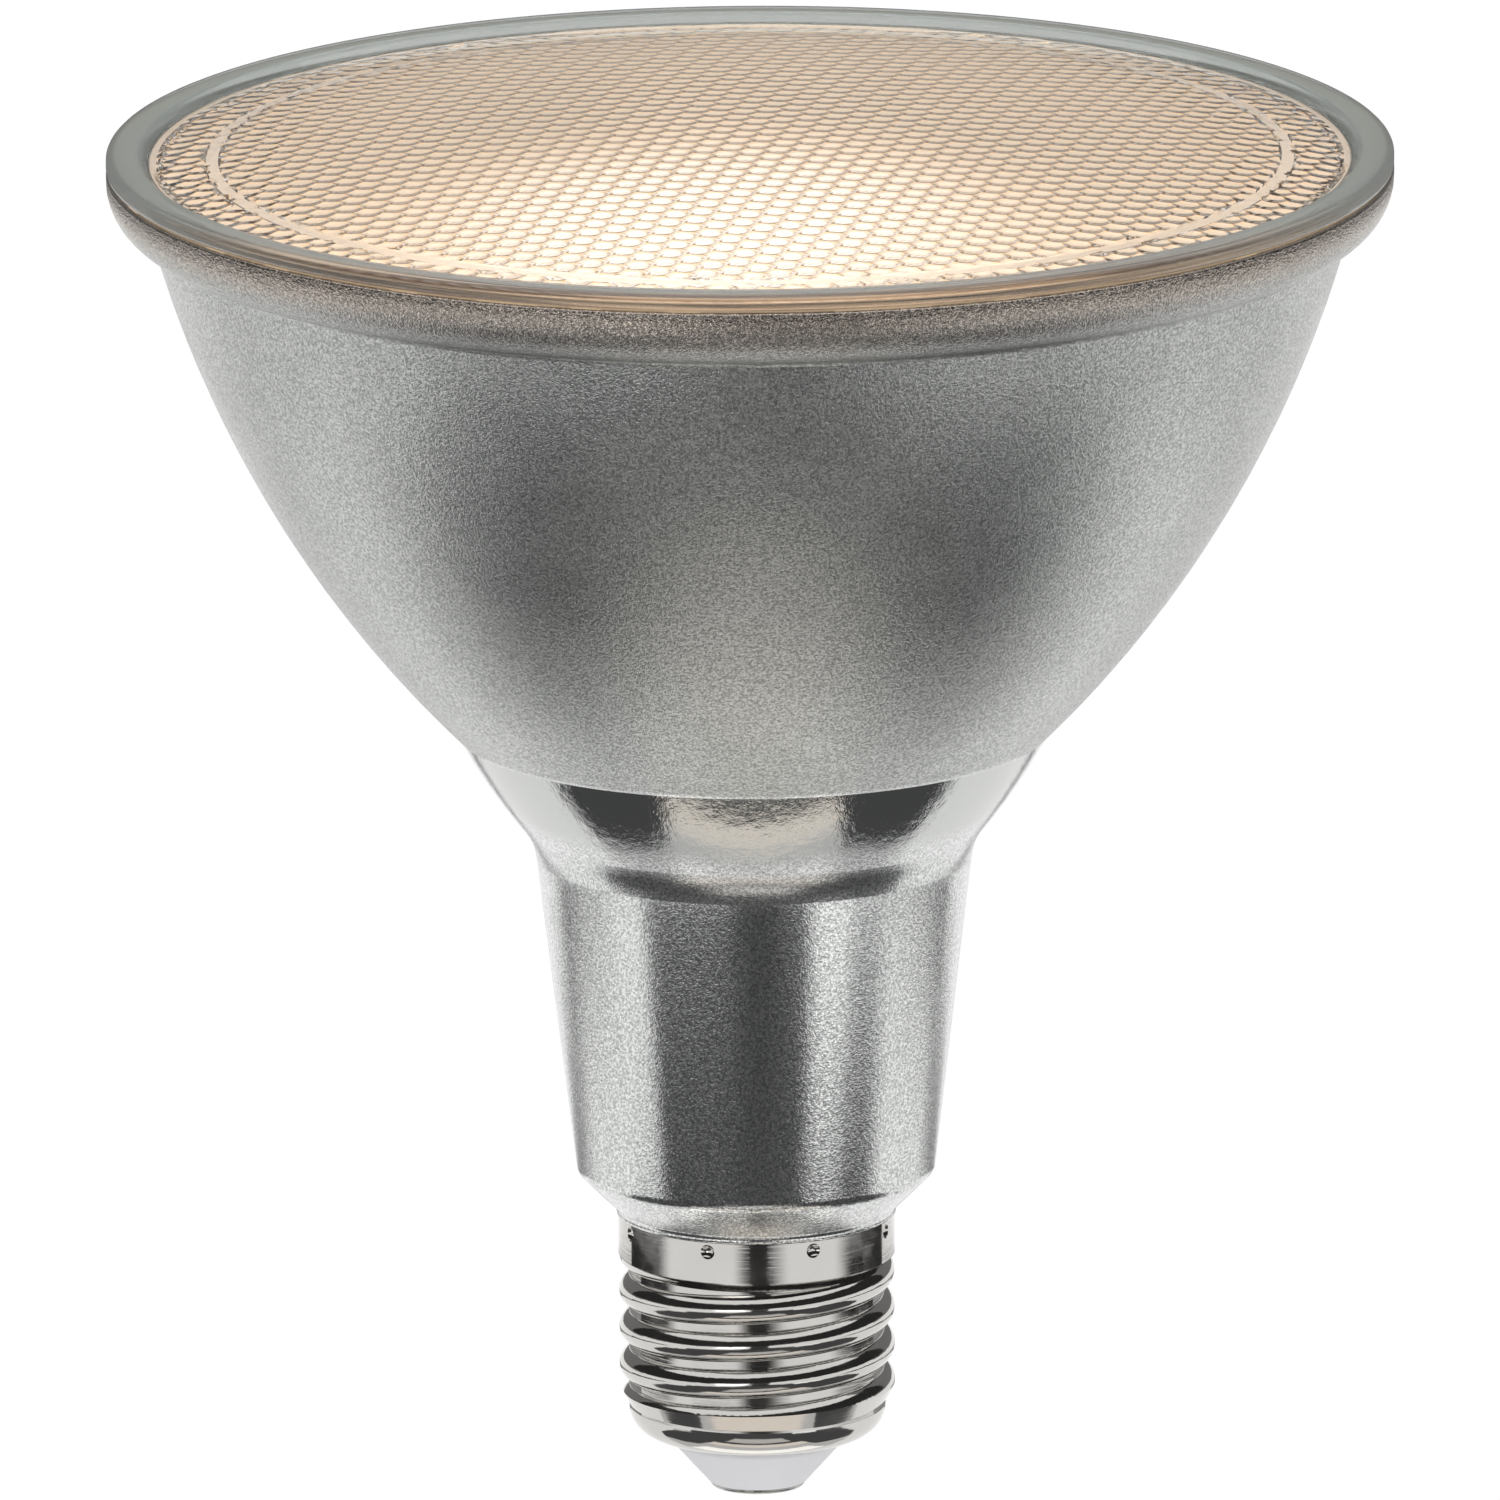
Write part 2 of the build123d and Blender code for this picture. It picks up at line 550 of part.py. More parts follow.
def make_film_box():
    """Boxed film capacitor with rounded top edges."""
    width, depth, height = FILM_BOX
    box = Pos(0, 0, height / 2) * Box(width, depth, height)
    return fillet(box.edges().group_by(Axis.Z)[-1], FILM_BOX_BLEND)


def make_can(radius, height):
    """Round can with a rolled groove near its foot and a rounded top."""
    groove = [(radius, 2 * CAN_GROOVE), (radius - CAN_GROOVE / 2, 3 * CAN_GROOVE), (radius, 4 * CAN_GROOVE)]
    solid = turn_points((0, 0), (radius, 0), *groove, (radius, height), (0, height))
    return fillet(solid.edges().group_by(Axis.Z)[-1], CAN_GROOVE)


def make_core():
    """Pair of ferrite E cores as one closed frame with a middle leg."""
    width, depth, height = CORE_SIZE
    window_width = (width - CORE_LEG - 2 * CORE_YOKE) / 2
    window_x = (CORE_LEG + window_width) / 2
    window = Box(window_width, depth - 2 * CORE_YOKE, height)
    frame = Box(width, depth, height) - [Pos(side * window_x, 0, 0) * window for side in (-1, 1)]
    return Pos(0, 0, CORE_RISE + height / 2) * frame


def make_winding():
    """Bobbin and winding round the core's middle leg, standing on the board on its own foot."""
    width, depth, height = CORE_SIZE
    inset = 2 * (CORE_YOKE + WINDING_CLEARANCE)
    tall = height + 2 * CORE_RISE
    leg = Box(CORE_LEG + 2 * WINDING_CLEARANCE, depth, height + 2 * WINDING_CLEARANCE)
    return Pos(0, 0, tall / 2) * (Box(width - inset, depth - inset, tall) - leg)


def make_resistor():
    """Round resistor lying over the board on its two bent wires."""
    body = Pos(0, 0, RESISTOR_RISE) * (Rot(0, 90, 0) * Cylinder(RESISTOR_RADIUS, RESISTOR_LENGTH))
    end = RESISTOR_SPAN / 2
    feet = [(-end, 0, 0), (-end, 0, RESISTOR_RISE), (end, 0, RESISTOR_RISE), (end, 0, 0)]
    path = FilletPolyline(*feet, radius=2 * RESISTOR_WIRE_RADIUS)
    return body + sweep(Plane(path @ 0, z_dir=path % 0) * Circle(RESISTOR_WIRE_RADIUS), path)


def make_chip(size):
    """Flat package with a row of legs on each long side."""
    width, depth, height = size
    body = Pos(0, 0, height / 2) * Box(width, depth, height)
    body = chamfer(body.edges().group_by(Axis.Z)[-1], height / 6)
    pitch = width / CHIP_LEG_COUNT
    legs = []
    for number in range(CHIP_LEG_COUNT):
        for side in (-1, 1):
            x = (number - (CHIP_LEG_COUNT - 1) / 2) * pitch
            legs.append(Pos(x, side * depth / 2, CHIP_LEG[2] / 2) * Box(*CHIP_LEG))
    return body + legs


def make_board_parts():
    """Parts on the driver board: mains side in rows from the bottom, output side from the top."""
    column = (FILM_BOX[0] + PART_GAP) / 2
    film_z = BOARD_BOTTOM_Z + PART_GAP + FILM_BOX[1] / 2
    choke_z = film_z + FILM_BOX[1] / 2 + PART_GAP + CHOKE_RADIUS
    resistor_z = BOARD_BOTTOM_Z + PART_GAP + RESISTOR_RADIUS
    storage_z = resistor_z + RESISTOR_RADIUS + PART_GAP + STORAGE_RADIUS
    core_z = BOARD_TOP_Z - PART_GAP - CORE_SIZE[1] / 2
    output_x = RAIL_PART_GAP + OUTPUT_RADIUS + RAIL_GRIP - BOARD_HALF_WIDTH
    core_x = output_x + OUTPUT_RADIUS + PART_GAP + CORE_SIZE[0] / 2
    return {
        "filter_capacitor": on_front(make_film_box(), -column, film_z),
        "filter_choke": on_front(make_can(CHOKE_RADIUS, CHOKE_HEIGHT), -column, choke_z),
        "fuse_resistor": on_front(make_resistor(), column, resistor_z),
        "storage_capacitor": on_front(make_can(STORAGE_RADIUS, STORAGE_HEIGHT), column, storage_z),
        "transformer_core": on_front(make_core(), core_x, core_z),
        "transformer_winding": on_front(make_winding(), core_x, core_z),
        "output_capacitor": on_front(make_can(OUTPUT_RADIUS, OUTPUT_HEIGHT), output_x, core_z),
        "bridge_rectifier": on_back(make_chip(RECTIFIER_SIZE), -column, choke_z),
        "driver_chip": on_back(make_chip(CHIP_SIZE), core_x, core_z),
    }


def make_lead(*points):
    """Round insulated lead along straight runs joined by bends."""
    path = FilletPolyline(*points, radius=LEAD_BEND)
    return sweep(Plane(path @ 0, z_dir=path % 0) * Circle(LEAD_RADIUS), path)


def make_mains_lead(x, z, board_x):
    """Lead from a place in the base up to the driver board's bottom edge."""
    rise = [(x, 0, z), (x, 0, z + LEAD_STRAIGHT)]
    end = [(board_x, BOARD_Y, BOARD_BOTTOM_Z - LEAD_STRAIGHT), (board_x, BOARD_Y, BOARD_BOTTOM_Z)]
    return make_lead(*rise, *end)


def make_led_lead(x):
    """Lead from the driver board through spreader and light board to its solder spot."""
    bow_z = LED_BOARD_TOP_Z + LED_LEAD_BOW_HEIGHT
    end_y = BOARD_Y + LED_LEAD_BOW_LENGTH
    rise = [(x, BOARD_Y, BOARD_TOP_Z), (x, BOARD_Y, bow_z)]
    fall = [(x, end_y, bow_z), (x, end_y, LED_BOARD_TOP_Z)]
    spot = rod(2 * LEAD_RADIUS, LED_BOARD_TOP_Z, LED_BOARD_TOP_Z + SOLDER_HEIGHT, x, end_y)
    return make_lead(*rise, *fall) + spot


def make_parts():
    """Every piece of the lamp by its name."""
    parts = {
        "front_lens": make_lens(),
        "rim_seal": make_rim_seal(),
        "reflector": make_reflector(),
        "screw_shell": make_screw_shell(),
        "base_cement": make_base_cement(),
        "base_insulator": make_insulator(),
        "centre_contact": make_contact(),
        "heat_spreader": make_spreader(),
        "spreader_bond": make_spreader_bond(),
        "led_board": make_led_board(),
        "board_screws": make_board_screws(),
        "driver_sleeve": make_sleeve(),
        "driver_board": make_driver_board(),
        "live_lead": make_mains_lead(0, contact_stem_top(), -MAINS_LEAD_PLACE),
        "neutral_lead": make_mains_lead(LIP_RADIUS - LIP_WIDTH / 2, LIP_Z + SHEET, MAINS_LEAD_PLACE),
        "led_lead_left": make_led_lead(-LED_LEAD_PLACE),
        "led_lead_right": make_led_lead(LED_LEAD_PLACE),
    }
    parts.update(make_board_parts())
    parts.update({f"led_{number:02d}": led for number, led in enumerate(make_leds(), 1)})
    return parts


os.makedirs("parts", exist_ok=True)
for name, shape in make_parts().items():
    export_step(shape, f"parts/{name}.step")
    print(name, round(shape.volume, 1), "mm3")
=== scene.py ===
# %% [markdown]
# # A silvered spotlight lamp, dressed piece by piece
# The lamp comes from CAD as a frame of solids that already have the right size and place.
# Blender adds what CAD leaves out: the pressed lenslets, the light sources, the finishes, a small
# photo studio and the camera. Each step says what the piece is on the real lamp, how it could be
# made, and why it is made this way.

# %% Load the frame
import json
import math

import bmesh
import bpy
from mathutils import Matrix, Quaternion, Vector
from mathutils.geometry import delaunay_2d_cdt


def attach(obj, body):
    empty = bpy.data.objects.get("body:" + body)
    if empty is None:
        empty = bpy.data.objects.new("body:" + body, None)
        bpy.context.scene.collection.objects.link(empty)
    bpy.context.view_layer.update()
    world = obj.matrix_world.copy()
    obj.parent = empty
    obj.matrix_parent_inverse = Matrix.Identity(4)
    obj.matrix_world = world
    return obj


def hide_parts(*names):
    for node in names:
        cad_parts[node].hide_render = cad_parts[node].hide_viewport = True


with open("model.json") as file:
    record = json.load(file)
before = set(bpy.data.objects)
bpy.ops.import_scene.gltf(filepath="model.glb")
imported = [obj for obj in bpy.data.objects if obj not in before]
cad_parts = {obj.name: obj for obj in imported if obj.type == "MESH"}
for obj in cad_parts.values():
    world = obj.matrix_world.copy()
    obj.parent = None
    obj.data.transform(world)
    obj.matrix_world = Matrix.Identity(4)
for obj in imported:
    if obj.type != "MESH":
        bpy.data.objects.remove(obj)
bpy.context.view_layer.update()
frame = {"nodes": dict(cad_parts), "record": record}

nodes = frame["nodes"]

# %% [markdown]
# ## Small tools for node trees
# Finishes and Geometry Nodes are both node trees, and a tree is easier to read when each node takes
# one line. `add` makes a node, sets its options, and fills its inputs with values or with links from
# other nodes. The rest are sums and blends that come back often.

# %% Node helpers
MM = 0.001


def add(tree, kind, inputs=(), **options):
    """New node with its options set and its inputs filled by place or by name."""
    node = tree.nodes.new(kind)
    for option, value in options.items():
        setattr(node, option, value)
    for place, value in inputs.items() if isinstance(inputs, dict) else enumerate(inputs):
        if isinstance(value, bpy.types.NodeSocket):
            tree.links.new(value, node.inputs[place])
        else:
            node.inputs[place].default_value = value
    return node


def maths(tree, operation, *values):
    """Result of one sum on numbers."""
    return add(tree, "ShaderNodeMath", values, operation=operation).outputs[0]


def vectors(tree, operation, *values):
    """Result of one sum on vectors."""
    return add(tree, "ShaderNodeVectorMath", values, operation=operation).outputs[0]


def times(tree, first, *others):
    """Product of numbers."""
    for other in others:
        first = maths(tree, "MULTIPLY", first, other)
    return first


def length(tree, vector):
    """Length of a vector."""
    return add(tree, "ShaderNodeVectorMath", [vector], operation="LENGTH").outputs["Value"]


def split(tree, vector):
    """The three numbers of a vector."""
    return add(tree, "ShaderNodeSeparateXYZ", [vector]).outputs


def joined(tree, *numbers):
    """Vector of three numbers."""
    return add(tree, "ShaderNodeCombineXYZ", numbers).outputs[0]


def ramp(tree, value, low, high, start=0.0, end=1.0):
    """Value carried softly from one range to another."""
    inputs = (value, low, high, start, end)
    return add(tree, "ShaderNodeMapRange", inputs, interpolation_type="SMOOTHSTEP").outputs[0]


def between(tree, value, rise, fall):
    """One between two soft ends and nought outside. Each end says where it starts and where it stops."""
    return times(tree, ramp(tree, value, *rise), ramp(tree, value, *fall, 1.0, 0.0))


def mix_number(tree, share, first, second):
    """Number between two numbers."""
    return add(tree, "ShaderNodeMix", {0: share, 2: first, 3: second}).outputs[0]


def mix_colour(tree, share, first, second):
    """Colour between two colours."""
    node = add(tree, "ShaderNodeMix", {0: share, 6: first, 7: second}, data_type="RGBA")
    return node.outputs[2]


def colour(red, green, blue):
    """Colour with full cover."""
    return (red, green, blue, 1.0)


print("node helpers ready")

# %% [markdown]
# ## A finish and its grain
# Every finish starts from the same shader and reads Object coordinates. The pieces sit at the origin,
# so these are the lamp's own millimetres: a grain of half a millimetre is half a millimetre on every
# piece.

# %% Finish helpers


def new_finish(name, **sockets):
    """Material with one main shader. Values that are the same all over go straight on its sockets."""
    material = bpy.data.materials.new(name)
    material.use_nodes = True
    tree = material.node_tree
    shader = tree.nodes["Principled BSDF"]
    for socket, value in sockets.items():
        shader.inputs[socket.replace("_", " ")].default_value = value
    return material, tree, shader


def place_of(tree):
    """Place on the lamp, in metres."""
    return add(tree, "ShaderNodeTexCoord").outputs["Object"]


def flat_place_of(tree):
    """Place on the lamp seen along its axis."""
    return vectors(tree, "MULTIPLY", place_of(tree), (1.0, 1.0, 0.0))


def grain(tree, size_mm, detail=2.0, place=None):
    """Cloudy grain from 0 to 1 with features about this large."""
    if place is None:
        place = place_of(tree)
    inputs = {"Vector": place, "Scale": 1.0 / (size_mm * MM), "Detail": detail}
    return add(tree, "ShaderNodeTexNoise", inputs).outputs["Fac"]


def feed(tree, shader, socket, value):
    """Lets a value that changes over the surface drive one socket of the shader."""
    tree.links.new(value, shader.inputs[socket])


def relief(tree, shader, height, depth_mm, share=1.0):
    """Relief on the surface from a height between 0 and 1, on top of the relief set before it."""
    inputs = {"Strength": share, "Distance": depth_mm * MM, "Height": height}
    bump = add(tree, "ShaderNodeBump", inputs)
    for link in shader.inputs["Normal"].links:
        tree.links.new(link.from_socket, bump.inputs["Normal"])
    tree.links.new(bump.outputs[0], shader.inputs["Normal"])


print("finish helpers ready")

# %% [markdown]
# ## The lens: a smooth dome outside
# The real lens is one pressed glass disc. Its outside is smooth, so it is turned from an outline round
# the lamp's axis. The outline follows the CAD lens: dome, small step, flat rim and the plug that drops
# into the reflector's mouth. Corners are rounded as the press leaves them.

# %% Lens sizes, in millimetres as in CAD
RIM_RADIUS = 61.0
RIM_TOP = 130.6
RIM_BOTTOM = 129.1
STEP = (57.0, 129.65)
STEP_TOP_RADIUS = 58.0
DOME_RADIUS = 480.0
FIELD_THICKNESS = 2.45
PLUG_TOP_RADIUS = 56.2
PLUG_RADIUS = 55.7
DOME_CENTRE = STEP[1] - math.sqrt(DOME_RADIUS ** 2 - STEP[0] ** 2)
LENS_SEGMENTS = 288


def dome_height(radius, drop=0.0):
    """Height of the lens dome at a radius, lowered by drop."""
    return DOME_CENTRE + math.sqrt((DOME_RADIUS - drop) ** 2 - radius ** 2)


def rounded(before, corner, after, radius, steps=5):
    """Points of the small arc that rounds a corner."""
    corner = Vector(corner)
    back, ahead = (Vector(before) - corner).normalized(), (Vector(after) - corner).normalized()
    half = back.angle(ahead) / 2
    centre = corner + (back + ahead).normalized() * (radius / math.sin(half))
    start, end = corner + back * (radius / math.tan(half)), corner + ahead * (radius / math.tan(half))
    points = []
    for step in range(steps + 1):
        way = (start - centre).lerp(end - centre, step / steps).normalized()
        points.append(tuple(centre + way * radius))
    return points


dome = [(radius, dome_height(radius)) for radius in range(2, 55, 2)]
step_top, rim_top, rim_bottom = (STEP_TOP_RADIUS, RIM_TOP), (RIM_RADIUS, RIM_TOP), (RIM_RADIUS, RIM_BOTTOM)
plug_top = (PLUG_TOP_RADIUS, RIM_BOTTOM)
plug_edge = (PLUG_RADIUS, dome_height(PLUG_RADIUS, FIELD_THICKNESS))
lens_outline = [
    *dome,
    *rounded(dome[-1], STEP, step_top, 0.6),
    *rounded(STEP, step_top, rim_top, 0.6),
    *rounded(step_top, rim_top, rim_bottom, 0.6),
    *rounded(rim_top, rim_bottom, plug_top, 0.3),
    plug_top,
    plug_edge,
]
print("lens outline points:", len(lens_outline))

# %% Turn the outside of the lens


def turned(outline, segments, pole=None):
    """Mesh data turned round the axis from an outline in millimetres, closed at the axis by a pole."""
    mesh = bmesh.new()
    rings = []
    for radius, height in outline:
        ring = []
        for number in range(segments):
            angle = 2 * math.pi * number / segments
            place = (radius * math.cos(angle), radius * math.sin(angle), height)
            ring.append(mesh.verts.new(Vector(place) * MM))
        rings.append(ring)
    for one, two in zip(rings, rings[1:]):
        for number in range(segments):
            after = (number + 1) % segments
            mesh.faces.new((one[number], two[number], two[after], one[after]))
    if pole is not None:
        tip = mesh.verts.new((0.0, 0.0, pole * MM))
        for number in range(segments):
            mesh.faces.new((tip, rings[0][number], rings[0][(number + 1) % segments]))
    return mesh


lens_mesh = turned(lens_outline, LENS_SEGMENTS, dome_height(0.0))
print("smooth side of the lens:", len(lens_mesh.faces), "faces")

# %% [markdown]
# ## The lens: a flat sheet ready for the press
# The inside of the lens is covered with small six-sided lenslets. Their creases have to be sharp, so
# the sheet that gets pressed needs edges exactly where the creases fall. Points on a fine triangle
# lattice do that, because every side of a six-sided cell runs along lattice lines. A Delaunay
# triangulation joins them up and also keeps the round edges of the two fields.

# %% Sheet of triangles under the lens
LENSLET_PITCH = 2.6
LENSLET_TURN = math.radians(17.0)
LENSLET_SPLITS = 3
RING_INNER = 50.0
RING_OUTER = 51.4
RING_SLOPE = 0.12
CLEAR_OF_CIRCLE = 0.2

circles = [RING_INNER - RING_SLOPE, RING_INNER + RING_SLOPE]
circles += [RING_OUTER - RING_SLOPE, RING_OUTER + RING_SLOPE, PLUG_RADIUS]
spacing = LENSLET_PITCH / math.sqrt(3) / LENSLET_SPLITS
lattice = [LENSLET_TURN + math.radians(30), LENSLET_TURN - math.radians(30)]
first_way, second_way = [Vector((math.cos(way), math.sin(way))) * spacing for way in lattice]

points, kept_edges = [], []
for radius in circles:
    start = len(points)
    for number in range(LENS_SEGMENTS):
        angle = 2 * math.pi * number / LENS_SEGMENTS
        points.append(Vector((math.cos(angle), math.sin(angle))) * radius)
        kept_edges.append((start + number, start + (number + 1) % LENS_SEGMENTS))
reach = int(2 * PLUG_RADIUS / spacing)
for one in range(-reach, reach + 1):
    for two in range(-reach, reach + 1):
        point = first_way * one + second_way * two
        if point.length < PLUG_RADIUS and all(abs(point.length - r) > CLEAR_OF_CIRCLE for r in circles):
            points.append(point)
sheet_points, _, sheet_faces, *_ = delaunay_2d_cdt(points, kept_edges, [], 0, 1e-6)
sheet = bpy.data.meshes.new("lenslet_sheet")
sheet.from_pydata([(point.x * MM, point.y * MM, 0.0) for point in sheet_points], [], sheet_faces)
print("lenslet sheet:", len(sheet.vertices), "points,", len(sheet.polygons), "triangles")

# %% [markdown]
# ## The lens: clear glass, a tinted rim and a painted reflection
# The middle of the lens is clear. The flat rim is thick and looks grey-green. On the near side, rim and
# outer edge get a painted reflection of the warm light and the brown seal below it, laid into their
# colour as streaks and strongest on the edge. The streaks are a noise that is stretched along the rim.
# Distance to the axis tells field, rim and edge apart.

# %% Lens glass: field, rim and edge
RIM_ZONE = (57.2 * MM, 57.9 * MM)
EDGE_ZONE = (60.0 * MM, 60.6 * MM)
NEAR_ZONE = (-52.0 * MM, -16.0 * MM)
STREAK_STRETCH = 0.012

lens_glass, tree, shader = new_finish("pressed_lens_glass", IOR=1.5)
across, deep, up = split(tree, place_of(tree))
from_axis = length(tree, flat_place_of(tree))
on_rim = ramp(tree, from_axis, *RIM_ZONE)
on_edge = ramp(tree, from_axis, *EDGE_ZONE)
# Painted reflection: on the near side, rim and edge take streaks of warm light and brown seal in their
# colour.
painted_reflection_side = ramp(tree, deep, *NEAR_ZONE, 1.0, 0.0)
streak = grain(tree, 0.4, 2.0, joined(tree, from_axis, times(tree, across, STREAK_STRETCH), up))
streak = ramp(tree, streak, 0.46, 0.62)
painted_reflection_tone = mix_colour(tree, streak, colour(0.17, 0.135, 0.115), colour(0.66, 0.46, 0.30))
rim_and_reflection_tone = mix_colour(tree, times(tree, painted_reflection_side, 0.45), colour(0.69, 0.745, 0.72), painted_reflection_tone)
edge_and_reflection_tone = mix_colour(tree, painted_reflection_side, colour(0.50, 0.52, 0.50), painted_reflection_tone)
glass_tone = mix_colour(tree, on_rim, colour(0.98, 0.985, 0.97), rim_and_reflection_tone)
glass_tone = mix_colour(tree, on_edge, glass_tone, edge_and_reflection_tone)
glass_blur = ramp(tree, grain(tree, 6.0), 0.35, 0.75, 0.0, 0.03)
feed(tree, shader, "Roughness", mix_number(tree, on_rim, glass_blur, 0.12))
feed(tree, shader, "Transmission Weight", ramp(tree, on_rim, 0.0, 1.0, 1.0, 0.7))
print("lens glass: rim from", round(RIM_ZONE[0] / MM, 1), "mm")

# %% [markdown]
# ## The lens: glass that catches the lamp's light
# In a lit lamp the light bounces many times before it leaves, and following every bounce takes very long.
# So the finish gives a small glow to the places that catch most of it: warm in the grooves between the
# lenslets and on the plain ring, and nearly white on the lenslets where the beam leaves at the near side.
# A point's depth below the smooth inner face tells groove from crown.

# %% Lens glass: grooves and lit crowns
GROOVE_DEPTH = (0.03 * MM, 0.24 * MM)
CROWN_DEPTH = (0.18 * MM, 0.30 * MM)
OUTER_GROOVE_SHADE_DEPTH = (0.06 * MM, 0.20 * MM)
RING_ZONE = ((50.0 * MM, 50.2 * MM), (51.2 * MM, 51.4 * MM))
OUTERMOST_ZONE = (53.6 * MM, 54.2 * MM)
OUTER_GROOVE_SHADE_END = (55.4 * MM, 55.6 * MM)
BEAM_CENTRE = (-4.0 * MM, -30.0 * MM, 0.0)
BEAM_SHAPE = (1.0 / (33.0 * MM), 1.0 / (31.0 * MM), 0.0)
GROOVE_GLOW = 0.24
RING_GLOW = 0.04
CROWN_GLOW = 0.54

inner_radius = (DOME_RADIUS - FIELD_THICKNESS) * MM
sag = maths(tree, "SUBTRACT", inner_radius ** 2, times(tree, from_axis, from_axis))
inner_face = maths(tree, "ADD", maths(tree, "SQRT", sag), DOME_CENTRE * MM)
below = maths(tree, "SUBTRACT", inner_face, up)
on_inner_face = maths(tree, "GREATER_THAN", below, -0.3 * MM)
groove = times(tree, ramp(tree, below, *GROOVE_DEPTH, 1.0, 0.0), on_inner_face)
# The grooves are also tinted gold in the colour: painted warm light from inside the lamp.
glass_tone = mix_colour(tree, groove, glass_tone, colour(0.89, 0.65, 0.37))
from_beam = vectors(tree, "SUBTRACT", flat_place_of(tree), BEAM_CENTRE)
from_beam = length(tree, vectors(tree, "MULTIPLY", from_beam, BEAM_SHAPE))
beam = ramp(tree, from_beam, 0.3, 1.3, 1.0, 0.0)
lit_crown = times(tree, beam, ramp(tree, below, *CROWN_DEPTH))
plain_ring = times(tree, between(tree, from_axis, *RING_ZONE), on_inner_face)
caught = maths(tree, "ADD", times(tree, groove, GROOVE_GLOW), times(tree, plain_ring, RING_GLOW))
outermost = ramp(tree, from_axis, *OUTERMOST_ZONE)
caught = times(tree, caught, maths(tree, "SUBTRACT", 1.0, outermost))
caught = maths(tree, "ADD", caught, times(tree, lit_crown, CROWN_GLOW))
feed(tree, shader, "Emission Strength", caught)
glow_tone = mix_colour(tree, lit_crown, colour(1.0, 0.60, 0.28), colour(1.0, 0.97, 0.93))
feed(tree, shader, "Emission Color", glow_tone)
# Painted shade: the grooves between the outermost lenslets are coloured dark brown.
outer_groove_shade = times(tree, ramp(tree, below, *OUTER_GROOVE_SHADE_DEPTH, 1.0, 0.0), outermost, on_inner_face)
outer_groove_shade = times(tree, outer_groove_shade, ramp(tree, from_axis, *OUTER_GROOVE_SHADE_END, 1.0, 0.0))
feed(tree, shader, "Base Color", mix_colour(tree, outer_groove_shade, glass_tone, colour(0.22, 0.19, 0.18)))
print("lens glow: grooves", GROOVE_GLOW, "crowns", CROWN_GLOW)

# %% [markdown]
# ## The lens: pressing the lenslets with Geometry Nodes
# A lenslet could be modelled once and copied on a grid, but whole copies would stick out over the
# round edge and leave gaps. So the tree works like the press tool: it looks at where each point lies,
# finds the nearest cell centre, and pushes the point down as a round pillow would. Wrapping the place
# into one cell, twice, with the second time half a cell further, finds the nearest centre of a
# honeycomb. Between the two fields a plain ring stays smooth.

# %% Helpers for Geometry Nodes


def new_tree(name, **sizes):
    """Geometry Nodes tree with named number inputs, its input and output nodes."""
    tree = bpy.data.node_groups.new(name, "GeometryNodeTree")
    tree.interface.new_socket("Geometry", in_out="INPUT", socket_type="NodeSocketGeometry")
    for size, value in sizes.items():
        kind = "NodeSocketInt" if isinstance(value, int) else "NodeSocketFloat"
        tree.interface.new_socket(size.replace("_", " "), in_out="INPUT", socket_type=kind)
    tree.interface.new_socket("Geometry", in_out="OUTPUT", socket_type="NodeSocketGeometry")
    return tree, tree.nodes.new("NodeGroupInput").outputs, tree.nodes.new("NodeGroupOutput").inputs


def press(tree, name, mesh, **sizes):
    """Plain mesh that a tree makes of a mesh, with the tree's inputs set by their identifiers."""
    holder = bpy.data.objects.new(name, mesh)
    bpy.context.scene.collection.objects.link(holder)
    modifier = holder.modifiers.new(name, "NODES")
    modifier.node_group = tree
    sockets = {item.name: item.identifier for item in tree.interface.items_tree if item.in_out == "INPUT"}
    for size, value in sizes.items():
        modifier[sockets[size.replace("_", " ")]] = value
    seen = holder.evaluated_get(bpy.context.evaluated_depsgraph_get())
    made = bpy.data.meshes.new_from_object(seen)
    bpy.data.objects.remove(holder)
    return made


print("Geometry Nodes helpers ready")

# %% Lenslet tree: distance to the nearest cell centre
lenslet_sizes = {
    "Pitch": LENSLET_PITCH * MM,
    "Turn": LENSLET_TURN,
    "Crown": 0.42 * MM,
    "Ring_inner": RING_INNER * MM,
    "Ring_outer": RING_OUTER * MM,
    "Field_edge": PLUG_RADIUS * MM,
    "Dome_radius": inner_radius,
    "Dome_centre": DOME_CENTRE * MM,
}
tree, given, result = new_tree("press_lenslets", **lenslet_sizes)
place = add(tree, "GeometryNodeInputPosition").outputs[0]
back = times(tree, given["Turn"], -1.0)
turning = {"Vector": place, "Angle": back}
straight = add(tree, "ShaderNodeVectorRotate", turning, rotation_type="Z_AXIS").outputs[0]
cell = joined(tree, given["Pitch"], times(tree, given["Pitch"], math.sqrt(3)), 1.0)
half_cell = vectors(tree, "MULTIPLY", cell, (0.5, 0.5, 0.5))
minus_half = vectors(tree, "MULTIPLY", cell, (-0.5, -0.5, -0.5))
distances = []
for start in (straight, vectors(tree, "ADD", straight, half_cell)):
    wrapped = vectors(tree, "WRAP", start, half_cell, minus_half)
    distances.append(length(tree, vectors(tree, "MULTIPLY", wrapped, (1.0, 1.0, 0.0))))
nearest = maths(tree, "MINIMUM", *distances)
print("lenslet tree inputs:", ", ".join(lenslet_sizes))

